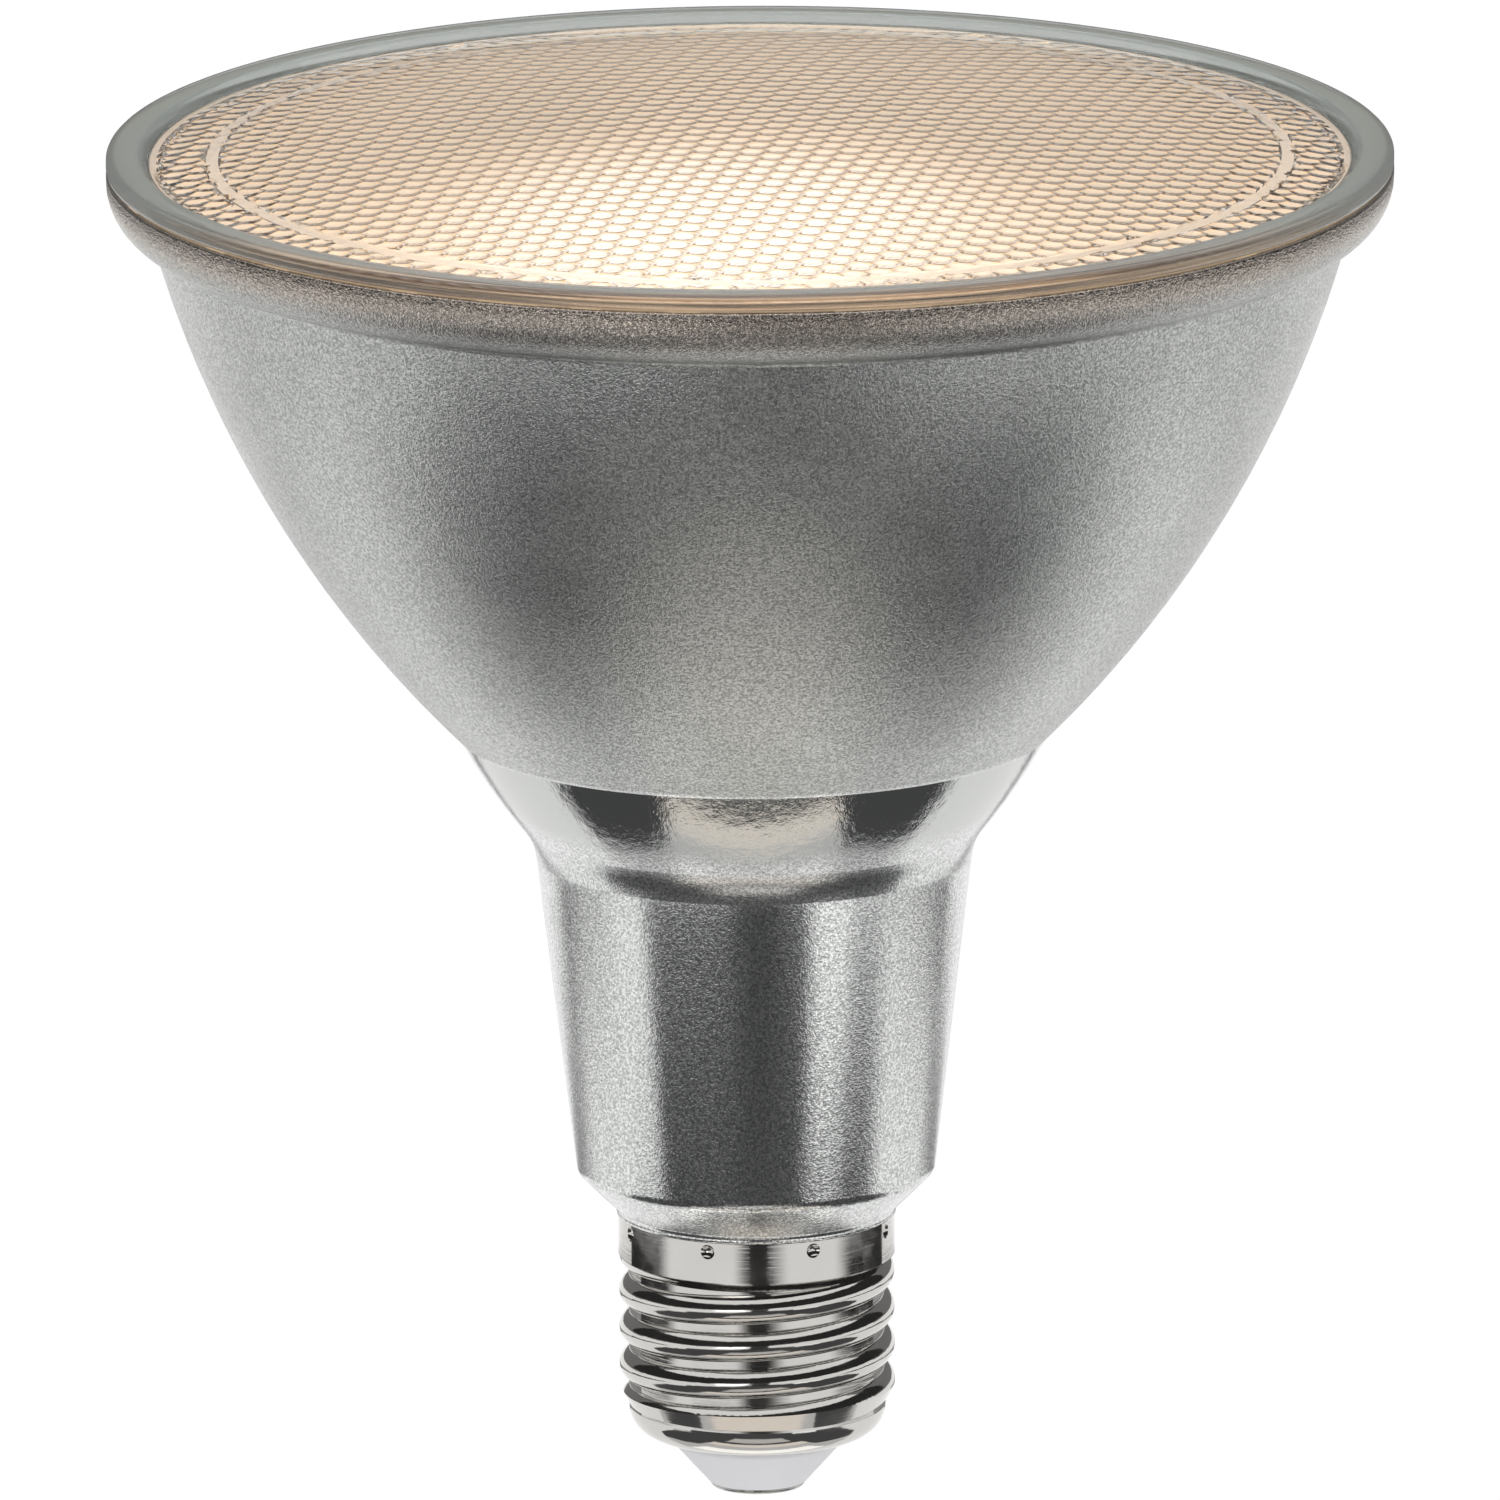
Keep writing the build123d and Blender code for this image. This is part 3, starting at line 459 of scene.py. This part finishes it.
# %% Lenslet tree: pillow height, plain ring and dome
corner = maths(tree, "DIVIDE", given["Pitch"], math.sqrt(3))
crown_squared = times(tree, given["Crown"], given["Crown"])
chord = maths(tree, "ADD", times(tree, corner, corner), crown_squared)
ball = maths(tree, "DIVIDE", chord, times(tree, given["Crown"], 2.0))
rise = maths(tree, "SUBTRACT", times(tree, ball, ball), times(tree, nearest, nearest))
sunk = maths(tree, "SUBTRACT", ball, given["Crown"])
pillow = maths(tree, "SUBTRACT", maths(tree, "SQRT", rise), sunk)
from_axis = length(tree, place)
past_inner = maths(tree, "GREATER_THAN", from_axis, given["Ring inner"])
before_outer = maths(tree, "LESS_THAN", from_axis, given["Ring outer"])
pillow = mix_number(tree, times(tree, past_inner, before_outer), pillow, given["Crown"])
inside = maths(tree, "LESS_THAN", maths(tree, "ADD", from_axis, 1e-6), given["Field edge"])
pillow = times(tree, pillow, inside)
dome_squared = times(tree, given["Dome radius"], given["Dome radius"])
sag = maths(tree, "SQRT", maths(tree, "SUBTRACT", dome_squared, times(tree, from_axis, from_axis)))
height = maths(tree, "SUBTRACT", maths(tree, "ADD", given["Dome centre"], sag), pillow)
axes = split(tree, place)
pressed_place = joined(tree, axes[0], axes[1], height)
moved = add(tree, "GeometryNodeSetPosition", {"Geometry": given["Geometry"], "Position": pressed_place})
real = add(tree, "GeometryNodeRealizeInstances", [moved.outputs[0]])
glazed = add(tree, "GeometryNodeSetMaterial", {"Geometry": real.outputs[0], "Material": lens_glass})
tree.links.new(glazed.outputs[0], result["Geometry"])

lenslets = press(tree, "lenslet_press", sheet, **lenslet_sizes)
lenslet_heights = [vertex.co.z / MM for vertex in lenslets.vertices]
print("lenslet face from", round(min(lenslet_heights), 3), "to", round(max(lenslet_heights), 3), "mm")

# %% [markdown]
# ## The lens: one closed piece of glass
# Glass only bends light properly when it is a closed body. The turned outside and the pressed inside
# share the plug's edge, point for point, so welding the doubles closes it. Edges are sharp where the
# press leaves a crease, and smooth everywhere else.

# %% Weld the lens


def piece(name, mesh, slot, *replaced):
    """Object of the lamp at the origin, riding on the lamp and standing for CAD nodes."""
    made = bpy.data.objects.new(name, mesh)
    bpy.context.scene.collection.objects.link(made)
    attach(made, "root")
    if replaced:
        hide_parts(*replaced)


def shade(mesh, crease_degrees):
    """Smooth shading that breaks at edges sharper than this."""
    mesh.shade_smooth()
    mesh.set_sharp_from_angle(angle=math.radians(crease_degrees))


lens_mesh.from_mesh(lenslets)
bmesh.ops.remove_doubles(lens_mesh, verts=lens_mesh.verts, dist=0.002 * MM)
bmesh.ops.recalc_face_normals(lens_mesh, faces=lens_mesh.faces)
open_edges = sum(1 for edge in lens_mesh.edges if not edge.is_manifold)
lens_data = bpy.data.meshes.new("front_lens_glass")
lens_mesh.to_mesh(lens_data)
lens_mesh.free()
lens_data.materials.clear()
lens_data.materials.append(lens_glass)
shade(lens_data, 24.0)
piece("lens_with_lenslets", lens_data, "lens_glass", "front_lens")
print("lens:", len(lens_data.polygons), "faces, open edges:", open_edges)

# %% [markdown]
# ## The light sources
# Twelve small light sources sit in two rings on a round board at the bottom of the reflector. Each is
# a white square package with a yellow domed window. One is built inside the tree from simple forms, and
# the tree copies it on the points of the two rings, each turned outwards.

# %% Light source finishes
package, tree, shader = new_finish("white_package", Roughness=0.4)
tone = mix_colour(tree, grain(tree, 0.6), colour(0.86, 0.85, 0.82), colour(0.93, 0.92, 0.89))
feed(tree, shader, "Base Color", tone)

SOURCE_GLOW = 2.5
SOURCE_LIGHT = colour(1.0, 0.80, 0.55)
phosphor, tree, shader = new_finish("lit_phosphor", Roughness=0.35)
shader.inputs["Emission Color"].default_value = SOURCE_LIGHT
shader.inputs["Emission Strength"].default_value = SOURCE_GLOW
tone = mix_colour(tree, grain(tree, 0.3), colour(0.95, 0.72, 0.25), colour(1.0, 0.84, 0.4))
feed(tree, shader, "Base Color", tone)
print("light source glow:", SOURCE_GLOW)

# %% Light source tree: one source
SOURCE_PITCH = 4.5
INNER_RADIUS = SOURCE_PITCH / math.sqrt(3)
led_sizes = {
    "Side": 3.0 * MM,
    "Height": 0.5 * MM,
    "Window": 1.25 * MM,
    "Window_rise": 0.2 * MM,
    "Board_top": 70.8 * MM,
    "Inner_radius": INNER_RADIUS * MM,
    "Outer_radius": (INNER_RADIUS + SOURCE_PITCH) * MM,
    "Inner_count": 3,
    "Outer_count": 9,
}
tree, given, result = new_tree("light_source_rings", **led_sizes)
body_size = joined(tree, given["Side"], given["Side"], given["Height"])
body = add(tree, "GeometryNodeMeshCube", {"Size": body_size}).outputs[0]
body = add(tree, "GeometryNodeSetMaterial", {"Geometry": body, "Material": package}).outputs[0]
half_height = times(tree, given["Height"], 0.5)
ball = {"Segments": 20, "Rings": 8, "Radius": given["Window"]}
dome_shape = {
    "Geometry": add(tree, "GeometryNodeMeshUVSphere", ball).outputs[0],
    "Translation": joined(tree, 0.0, 0.0, half_height),
    "Scale": joined(tree, 1.0, 1.0, maths(tree, "DIVIDE", given["Window rise"], given["Window"])),
}
window = add(tree, "GeometryNodeTransform", dome_shape).outputs[0]
window = add(tree, "GeometryNodeSetMaterial", {"Geometry": window, "Material": phosphor}).outputs[0]
source = tree.nodes.new("GeometryNodeJoinGeometry")
for part in (window, body):
    tree.links.new(part, source.inputs[0])
print("light source tree inputs:", ", ".join(led_sizes))

# %% Light source tree: two rings of them
rings = tree.nodes.new("GeometryNodeJoinGeometry")
for ring in ("Inner", "Outer"):
    ring_size = {"Vertices": given[ring + " count"], "Radius": given[ring + " radius"]}
    circle = add(tree, "GeometryNodeMeshCircle", ring_size)
    tree.links.new(circle.outputs[0], rings.inputs[0])
outwards = add(tree, "GeometryNodeInputPosition").outputs[0]
turn = add(tree, "FunctionNodeAlignRotationToVector", {"Vector": outwards}, axis="X").outputs[0]
copying = {"Points": rings.outputs[0], "Instance": source.outputs[0], "Rotation": turn}
copies = add(tree, "GeometryNodeInstanceOnPoints", copying).outputs[0]
stand = joined(tree, 0.0, 0.0, maths(tree, "ADD", given["Board top"], half_height))
raised = add(tree, "GeometryNodeTransform", {"Geometry": copies, "Translation": stand})
real = add(tree, "GeometryNodeRealizeInstances", [raised.outputs[0]]).outputs[0]
package_top = maths(tree, "ADD", given["Board top"], given["Height"])
above = maths(tree, "ADD", package_top, 1e-6)
is_window = maths(tree, "GREATER_THAN", split(tree, outwards)[2], above)
lighting = {"Geometry": real, "Selection": is_window, "Material": phosphor}
lit = add(tree, "GeometryNodeSetMaterial", lighting)
tree.links.new(lit.outputs[0], result["Geometry"])

sources_mesh = press(tree, "light_source_maker", bpy.data.meshes.new("no_points"), **led_sizes)
if sources_mesh.materials[0] is None:
    sources_mesh.materials.pop(index=0)
print("light source materials:", [material.name for material in sources_mesh.materials])
shade(sources_mesh, 40.0)
led_nodes = [name for name in nodes if name.startswith("led_") and name[4:].isdigit()]
piece("light_sources", sources_mesh, "light_source", *led_nodes)
print("light sources:", len(led_nodes), "copies,", len(sources_mesh.polygons), "faces")

# %% [markdown]
# ## The silvered glass
# The reflector is pressed glass with a metal coat. The press tool leaves a fine stipple on bowl and
# neck, while the collar between them is polished and mirrors sharply. Height on the lamp tells them
# apart, so one finish serves the whole piece: a metal whose grain and blur fade out at the collar. The
# inner side, which faces the axis, is the optical mirror and is smoother too.

# %% Silvering: where bowl, collar, bend and bead lie
BEND_ZONE = ((60.8 * MM, 62.2 * MM), (64.8 * MM, 66.0 * MM))
COLLAR_FOOT = (65.5 * MM, 68.5 * MM)
COLLAR_TOP = (73.8 * MM, 74.6 * MM)
BEAD_FOOT = (122.6 * MM, 123.8 * MM)
WARM_ZONE = (124.0 * MM, 128.0 * MM)

silver, tree, shader = new_finish("stippled_silvering", Metallic=1.0)
along = split(tree, place_of(tree))[2]
collar = between(tree, along, COLLAR_FOOT, COLLAR_TOP)
bowl = ramp(tree, along, *COLLAR_TOP)
bend = between(tree, along, *BEND_ZONE)
bead = ramp(tree, along, *BEAD_FOOT)
facing = add(tree, "ShaderNodeNewGeometry").outputs["Normal"]
sides = (flat_place_of(tree), facing)
away = add(tree, "ShaderNodeVectorMath", sides, operation="DOT_PRODUCT").outputs["Value"]
inner_side = maths(tree, "LESS_THAN", away, 0.0)
polished = maths(tree, "MAXIMUM", collar, inner_side)
print("collar between", round(COLLAR_FOOT[0] / MM, 1), "and", round(COLLAR_TOP[1] / MM, 1), "mm")

# %% Silvering: stipple and blur
STIPPLE_DEPTH = 0.066
coarse = times(tree, grain(tree, 0.30, 2.0), 0.62)
fine = times(tree, grain(tree, 0.15, 1.0), 0.38)
stipple = maths(tree, "ADD", coarse, fine)
depth = mix_number(tree, bowl, 0.32, 1.0)
depth = mix_number(tree, bead, depth, 1.7)
depth = mix_number(tree, polished, depth, 0.22)
relief(tree, shader, stipple, STIPPLE_DEPTH, depth)
relief(tree, shader, grain(tree, 1.1, 3.0), 0.035, collar)
blur = ramp(tree, grain(tree, 9.0, 3.0), 0.3, 0.7, 0.29, 0.35)
blur = mix_number(tree, bowl, 0.14, blur)
blur = mix_number(tree, collar, blur, 0.07)
blur = mix_number(tree, bend, blur, 0.22)
feed(tree, shader, "Roughness", mix_number(tree, bead, blur, 0.24))
print("stipple depth:", STIPPLE_DEPTH, "mm")

# %% Silvering: tones, and the glow of the lit inside
LIT_DEPTH = (76.0 * MM, 108.0 * MM)
WALL_GLOW = (0.45, 0.72)
speckle = ramp(tree, stipple, 0.36, 0.64)
bowl_tone = mix_colour(tree, speckle, colour(0.33, 0.34, 0.33), colour(0.73, 0.74, 0.72))
neck_tone = mix_colour(tree, speckle, colour(0.44, 0.45, 0.44), colour(0.86, 0.87, 0.86))
warm_tone = mix_colour(tree, speckle, colour(0.36, 0.31, 0.27), colour(0.74, 0.64, 0.55))
tone = mix_colour(tree, bowl, neck_tone, bowl_tone)
tone = mix_colour(tree, times(tree, bead, 0.3), tone, colour(0.16, 0.155, 0.15))
tone = mix_colour(tree, ramp(tree, along, *WARM_ZONE, 0.0, 0.8), tone, warm_tone)
tone = mix_colour(tree, collar, tone, colour(0.58, 0.59, 0.575))
tone = mix_colour(tree, inner_side, tone, colour(0.66, 0.61, 0.54))
feed(tree, shader, "Base Color", tone)
# Painted light: the inner wall glows warm, strongest deep down, in place of the lamp's light bouncing
# inside the reflector.
lit_depth = ramp(tree, along, *LIT_DEPTH, 1.0, 0.0)
glow = mix_colour(tree, lit_depth, colour(1.0, 0.79, 0.61), colour(1.0, 0.84, 0.68))
feed(tree, shader, "Emission Color", glow)
feed(tree, shader, "Emission Strength", times(tree, inner_side, mix_number(tree, lit_depth, *WALL_GLOW)))
nodes["reflector"].material_slots[0].material = silver
print("glow of the inner wall:", WALL_GLOW)

# %% [markdown]
# ## The screw base, insulator and contact
# The shell is rolled from nickel-plated sheet, so it mirrors its surroundings in strong bands and has
# faint lines round it from the rolling. The insulator is a matt white ceramic, and the contact is a
# dull tinned disc.

# %% Base finishes
nickel, tree, shader = new_finish("rolled_nickel", Metallic=1.0)
round_the_shell = vectors(tree, "MULTIPLY", place_of(tree), (0.04, 0.04, 1.0))
lines = grain(tree, 0.25, 3.0, round_the_shell)
relief(tree, shader, lines, 0.004)
smear = grain(tree, 3.5, 4.0)
feed(tree, shader, "Roughness", ramp(tree, smear, 0.35, 0.7, 0.06, 0.13))
tone = mix_colour(tree, smear, colour(0.56, 0.545, 0.52), colour(0.66, 0.645, 0.62))
feed(tree, shader, "Base Color", tone)
nodes["screw_shell"].material_slots[0].material = nickel

ceramic, tree, shader = new_finish("matt_white_insulator")
powder = grain(tree, 0.5, 4.0)
relief(tree, shader, powder, 0.012)
feed(tree, shader, "Roughness", ramp(tree, powder, 0.3, 0.7, 0.5, 0.62))
tone = mix_colour(tree, grain(tree, 5.0, 3.0), colour(0.86, 0.86, 0.885), colour(0.92, 0.92, 0.94))
feed(tree, shader, "Base Color", tone)
nodes["base_insulator"].material_slots[0].material = ceramic

tinned, tree, shader = new_finish("tinned_contact", Metallic=1.0)
scuffs = grain(tree, 0.8, 5.0)
relief(tree, shader, scuffs, 0.03)
feed(tree, shader, "Roughness", ramp(tree, scuffs, 0.3, 0.7, 0.22, 0.45))
tone = mix_colour(tree, scuffs, colour(0.42, 0.42, 0.41), colour(0.62, 0.62, 0.60))
feed(tree, shader, "Base Color", tone)
nodes["centre_contact"].material_slots[0].material = tinned
print("base finishes set")

# %% [markdown]
# ## The inner pieces
# Board, driver and leads are mostly hidden, so they keep their CAD shapes. Each still gets a finish of
# its own: the colour from the record, a grain of the right size, and relief where the real surface has
# some. The heat spreader shows the rings that turning leaves, which follow the distance to the axis.

# %% Finishes for the inner pieces: metal, blur, grain in mm and relief in mm
record_colours = {row["slot"]: row["base_color"][:3] for row in frame["record"]["materials"]}
inner_finishes = {
    "clear_silicone": (0.0, 0.35, 1.5, 0.02),
    "cement": (0.0, 0.8, 0.4, 0.06),
    "white_board": (0.0, 0.35, 1.0, 0.01),
    "screw_steel": (1.0, 0.3, 0.5, 0.01),
    "sleeve_plastic": (0.0, 0.5, 0.6, 0.02),
    "green_board": (0.0, 0.3, 0.8, 0.03),
    "film_box": (0.0, 0.35, 0.7, 0.02),
    "black_case": (0.0, 0.45, 0.4, 0.03),
    "can_sleeve": (0.0, 0.25, 1.2, 0.02),
    "ferrite": (0.0, 0.55, 0.3, 0.03),
    "winding_tape": (0.0, 0.4, 0.9, 0.02),
    "resistor_body": (0.0, 0.4, 0.5, 0.02),
    "brown_lead": (0.0, 0.45, 0.7, 0.01),
    "blue_lead": (0.0, 0.45, 0.7, 0.01),
    "black_lead": (0.0, 0.45, 0.7, 0.01),
    "red_lead": (0.0, 0.45, 0.7, 0.01),
}
finishes = {}
for slot, (metal, blur, size, depth) in inner_finishes.items():
    finishes[slot], tree, shader = new_finish(slot + "_finish", Metallic=metal)
    cloud = grain(tree, size, 3.0)
    relief(tree, shader, cloud, depth)
    feed(tree, shader, "Roughness", ramp(tree, cloud, 0.3, 0.7, blur * 0.85, blur * 1.15))
    base = Vector(record_colours[slot])
    tone = mix_colour(tree, cloud, colour(*(base * 0.88)), colour(*base))
    feed(tree, shader, "Base Color", tone)

print("finishes with a plain grain:", len(finishes))

# %% The lit seal and the turned heat spreader
TURNING_PITCH = 0.3 * MM
# Painted light: the seal glows faintly orange, as the lamp's light would shine through it.
silicone = finishes["clear_silicone"].node_tree.nodes["Principled BSDF"]
silicone.inputs["Emission Color"].default_value = colour(1.0, 0.55, 0.25)
silicone.inputs["Emission Strength"].default_value = 0.10

finishes["turned_aluminium"], tree, shader = new_finish("turned_aluminium_finish", Metallic=1.0)
from_axis = length(tree, flat_place_of(tree))
turning = maths(tree, "SINE", times(tree, from_axis, 2 * math.pi / TURNING_PITCH))
relief(tree, shader, ramp(tree, turning, -1.0, 1.0), 0.006)
cloud = grain(tree, 2.0, 3.0)
feed(tree, shader, "Roughness", ramp(tree, cloud, 0.3, 0.7, 0.26, 0.36))
tone = mix_colour(tree, cloud, colour(0.74, 0.74, 0.75), colour(0.82, 0.82, 0.83))
feed(tree, shader, "Base Color", tone)

for row in frame["record"]["subparts"]:
    if row["material_slot"] in finishes:
        nodes[row["node"]].material_slots[0].material = finishes[row["material_slot"]]
print("inner finishes:", len(finishes))

# %% [markdown]
# ## The studio: floor and surroundings
# Polished metal looks like what is around it, so the surroundings matter most. The floor and the world
# are white. Rays that come from the camera, from a mirror or through glass see them at full white, while
# the light that falls on matt surfaces stays at a plain level and leaves the shadow.

# %% Floor and world
FLOOR = -0.100


def seen_rays(tree):
    """One for rays from the camera, a mirror or glass, and nought for the rest."""
    rays = add(tree, "ShaderNodeLightPath").outputs
    mirror = maths(tree, "MAXIMUM", rays["Is Camera Ray"], rays["Is Glossy Ray"])
    return maths(tree, "MAXIMUM", mirror, rays["Is Transmission Ray"])


floor_mesh = bpy.data.meshes.new("floor")
floor_corners = [(-6, -6, FLOOR), (6, -6, FLOOR), (6, 6, FLOOR), (-6, 6, FLOOR)]
floor_mesh.from_pydata(floor_corners, [], [(0, 1, 2, 3)])
floor = bpy.data.objects.new("floor", floor_mesh)
bpy.context.scene.collection.objects.link(floor)
floor_white, tree, shader = new_finish("floor_white", Base_Color=colour(0.8, 0.8, 0.8), Roughness=0.9)
shader.inputs["Specular IOR Level"].default_value = 0.0
shader.inputs["Emission Color"].default_value = colour(1.0, 1.0, 1.0)
feed(tree, shader, "Emission Strength", times(tree, seen_rays(tree), 0.35))
floor_mesh.materials.append(floor_white)

world = bpy.data.worlds.new("white_studio")
bpy.context.scene.world = world
world.use_nodes = True
tree = world.node_tree
level = ramp(tree, seen_rays(tree), 0.0, 1.0, 0.85, 1.0)
background = tree.nodes["Background"]
background.inputs["Color"].default_value = colour(1.0, 1.0, 1.0)
tree.links.new(level, background.inputs["Strength"])
print("floor at", FLOOR / MM, "mm")

# %% [markdown]
# ## The studio: cards that the metal mirrors
# In the picture the bowl is dark in front and pale at the sides: it mirrors a dark table in front of the
# lamp and a white one behind. Pale pads on the table give the collar its beige middle and the bowl its
# light patch, and one strip gives the neck its stripe. The shell mirrors two soft boxes beside the camera
# and dark gaps at the sides. The cards only show in mirrors, so they shape the reflections without
# lighting the scene. Where a card fades, it turns clear.

# %% Card makers
CARD_STEPS = 24


def card(name, corners, faces, tone):
    """Glowing card that only mirrors show. Returns its tree and the socket for its cover."""
    mesh = bpy.data.meshes.new(name)
    mesh.from_pydata(corners, [], faces)
    made = bpy.data.objects.new(name, mesh)
    bpy.context.scene.collection.objects.link(made)
    material = bpy.data.materials.new(name)
    material.use_nodes = True
    tree = material.node_tree
    tree.nodes.clear()
    glow = add(tree, "ShaderNodeEmission", {"Color": colour(*tone), "Strength": 1.0})
    clear = tree.nodes.new("ShaderNodeBsdfTransparent")
    blend = add(tree, "ShaderNodeMixShader", (1.0, clear.outputs[0], glow.outputs[0]))
    end = tree.nodes.new("ShaderNodeOutputMaterial")
    tree.links.new(blend.outputs[0], end.inputs["Surface"])
    mesh.materials.append(material)
    made.visible_camera = False
    made.visible_diffuse = False
    made.visible_transmission = False
    made.visible_shadow = False
    return tree, blend.inputs[0]


def table_card(name, corners, rise, tone):
    """Card lying just above the floor, from its corners seen from above."""
    raised_corners = [(x, y, FLOOR + rise) for x, y in corners]
    card(name, raised_corners, [tuple(range(len(corners)))], tone)


def round_card(name, bearings, heights, tone, fade, distance):
    """Upright card bent round the lamp between two bearings in degrees, 0 at the camera."""
    start, end = bearings
    corners = []
    for height in heights:
        for number in range(CARD_STEPS + 1):
            way = math.radians(start + (end - start) * number / CARD_STEPS)
            corners.append((distance * math.sin(way), -distance * math.cos(way), height))
    row = CARD_STEPS + 1
    faces = [(n, n + 1, row + n + 1, row + n) for n in range(CARD_STEPS)]
    tree, cover = card(name, corners, faces, (tone, tone, tone))
    if fade:
        x, y, _ = split(tree, place_of(tree))
        bearing = maths(tree, "ARCTAN2", x, times(tree, y, -1.0))
        rise = (math.radians(start), math.radians(start + fade))
        fall = (math.radians(end - fade), math.radians(end))
        tree.links.new(between(tree, bearing, rise, fall), cover)


print("card makers ready")

# %% Cards on the floor: outline, rise above the floor and tone
left_edge = [(-0.162, 0.050), (-0.270, -0.035), (-0.245, -0.125), (-0.33, -0.18)]
front_edge = [(-0.42, -0.30), (-0.42, -0.45), (0.19, -0.45), (0.19, -0.27)]
right_edge = [(0.33, -0.12), (0.30, -0.05), (0.162, 0.050)]
middle_front = [(-0.072, -0.038), (0.072, -0.038), (0.069, -0.014)]
middle_back = [(0.116, 0.052), (-0.116, 0.052), (-0.069, -0.014)]
under_lamp = [(-0.052, -0.004), (0.052, -0.004), (0.052, 0.046), (-0.052, 0.046)]
beige_edge = [(-0.074, -0.067), (0.074, -0.067), (0.072, -0.038), (-0.072, -0.038)]
grey_edge = [(-0.065, -0.160), (0.065, -0.160), (0.060, -0.088), (-0.060, -0.088)]
stripe_edge = [(0.150, -0.25), (0.19, -0.315), (0.30, -0.22), (0.24, -0.175)]
floor_cards = {
    "dark_table": (left_edge + front_edge + right_edge, 0.0005, (0.082, 0.082, 0.085)),
    "grey_middle": (middle_front + middle_back, 0.0010, (0.66, 0.66, 0.66)),
    "pale_pad": (under_lamp, 0.0015, (1.5, 1.48, 1.45)),
    "beige_pad": (beige_edge, 0.0010, (1.0, 0.92, 0.84)),
    "grey_pad": (grey_edge, 0.0010, (0.66, 0.64, 0.62)),
    "neck_stripe": (stripe_edge, 0.0010, (1.4, 1.4, 1.4)),
}
for name, (corners, rise, tone) in floor_cards.items():
    table_card(name, corners, rise, tone)
print("cards on the floor:", len(floor_cards))

# %% Cards that stand round the lamp: bearings, heights, tone, fade and distance
BOX_HEIGHTS = (-0.087, 0.030)
BOX_DISTANCE = 0.36
standing_cards = {
    "back_screen": ((110, 250), (0.005, 0.60), 0.2, 0, 0.5),
    "left_box": ((-90, -5), BOX_HEIGHTS, 1.0, 16, BOX_DISTANCE),
    "right_box": ((8, 86), BOX_HEIGHTS, 1.0, 20, BOX_DISTANCE),
    "dark_gap": ((-128, 128), (-0.081, -0.057), 0.03, 0, BOX_DISTANCE + 0.002),
    "dark_middle": ((-6, 9), BOX_HEIGHTS, 0.06, 0, BOX_DISTANCE + 0.004),
    "bead_box": ((-38, -6), (-0.036, 0.028), 2.8, 9, BOX_DISTANCE - 0.002),
    "low_rear": ((128, 232), (-0.092, -0.069), 0.3, 0, BOX_DISTANCE),
    "dark_front": ((-128, 128), (0.030, 0.30), 0.03, 0, BOX_DISTANCE),
}
for name, (bearings, heights, tone, fade, distance) in standing_cards.items():
    round_card(name, bearings, heights, tone, fade, distance)
print("cards round the lamp:", len(standing_cards))

# %% [markdown]
# ## The camera
# The picture was taken with a long lens from a little above. A camera 4.5 m away with a matching focal
# length keeps the ellipses of rim and base as flat as they are there. The small roll is the picture's own.

# %% Camera
ELEVATION = math.radians(13.8)
DISTANCE = 4.5
FRAME_WIDTH = 0.14245
target = Vector((-0.00034, 0.0, 0.07195))
back = Vector((0.0, -math.cos(ELEVATION), math.sin(ELEVATION)))
camera_data = bpy.data.cameras.new("camera")
camera_data.sensor_width = 36.0
camera_data.lens = camera_data.sensor_width * DISTANCE / FRAME_WIDTH
camera = bpy.data.objects.new("camera", camera_data)
bpy.context.scene.collection.objects.link(camera)
camera.location = target + back * DISTANCE
camera.rotation_mode = "QUATERNION"
roll = Quaternion(back, math.radians(-0.35))
camera.rotation_quaternion = roll @ (-back).to_track_quat("-Z", "Y")
bpy.context.scene.camera = camera
bpy.context.scene.view_settings.view_transform = "Standard"
print("camera lens:", round(camera_data.lens), "mm")
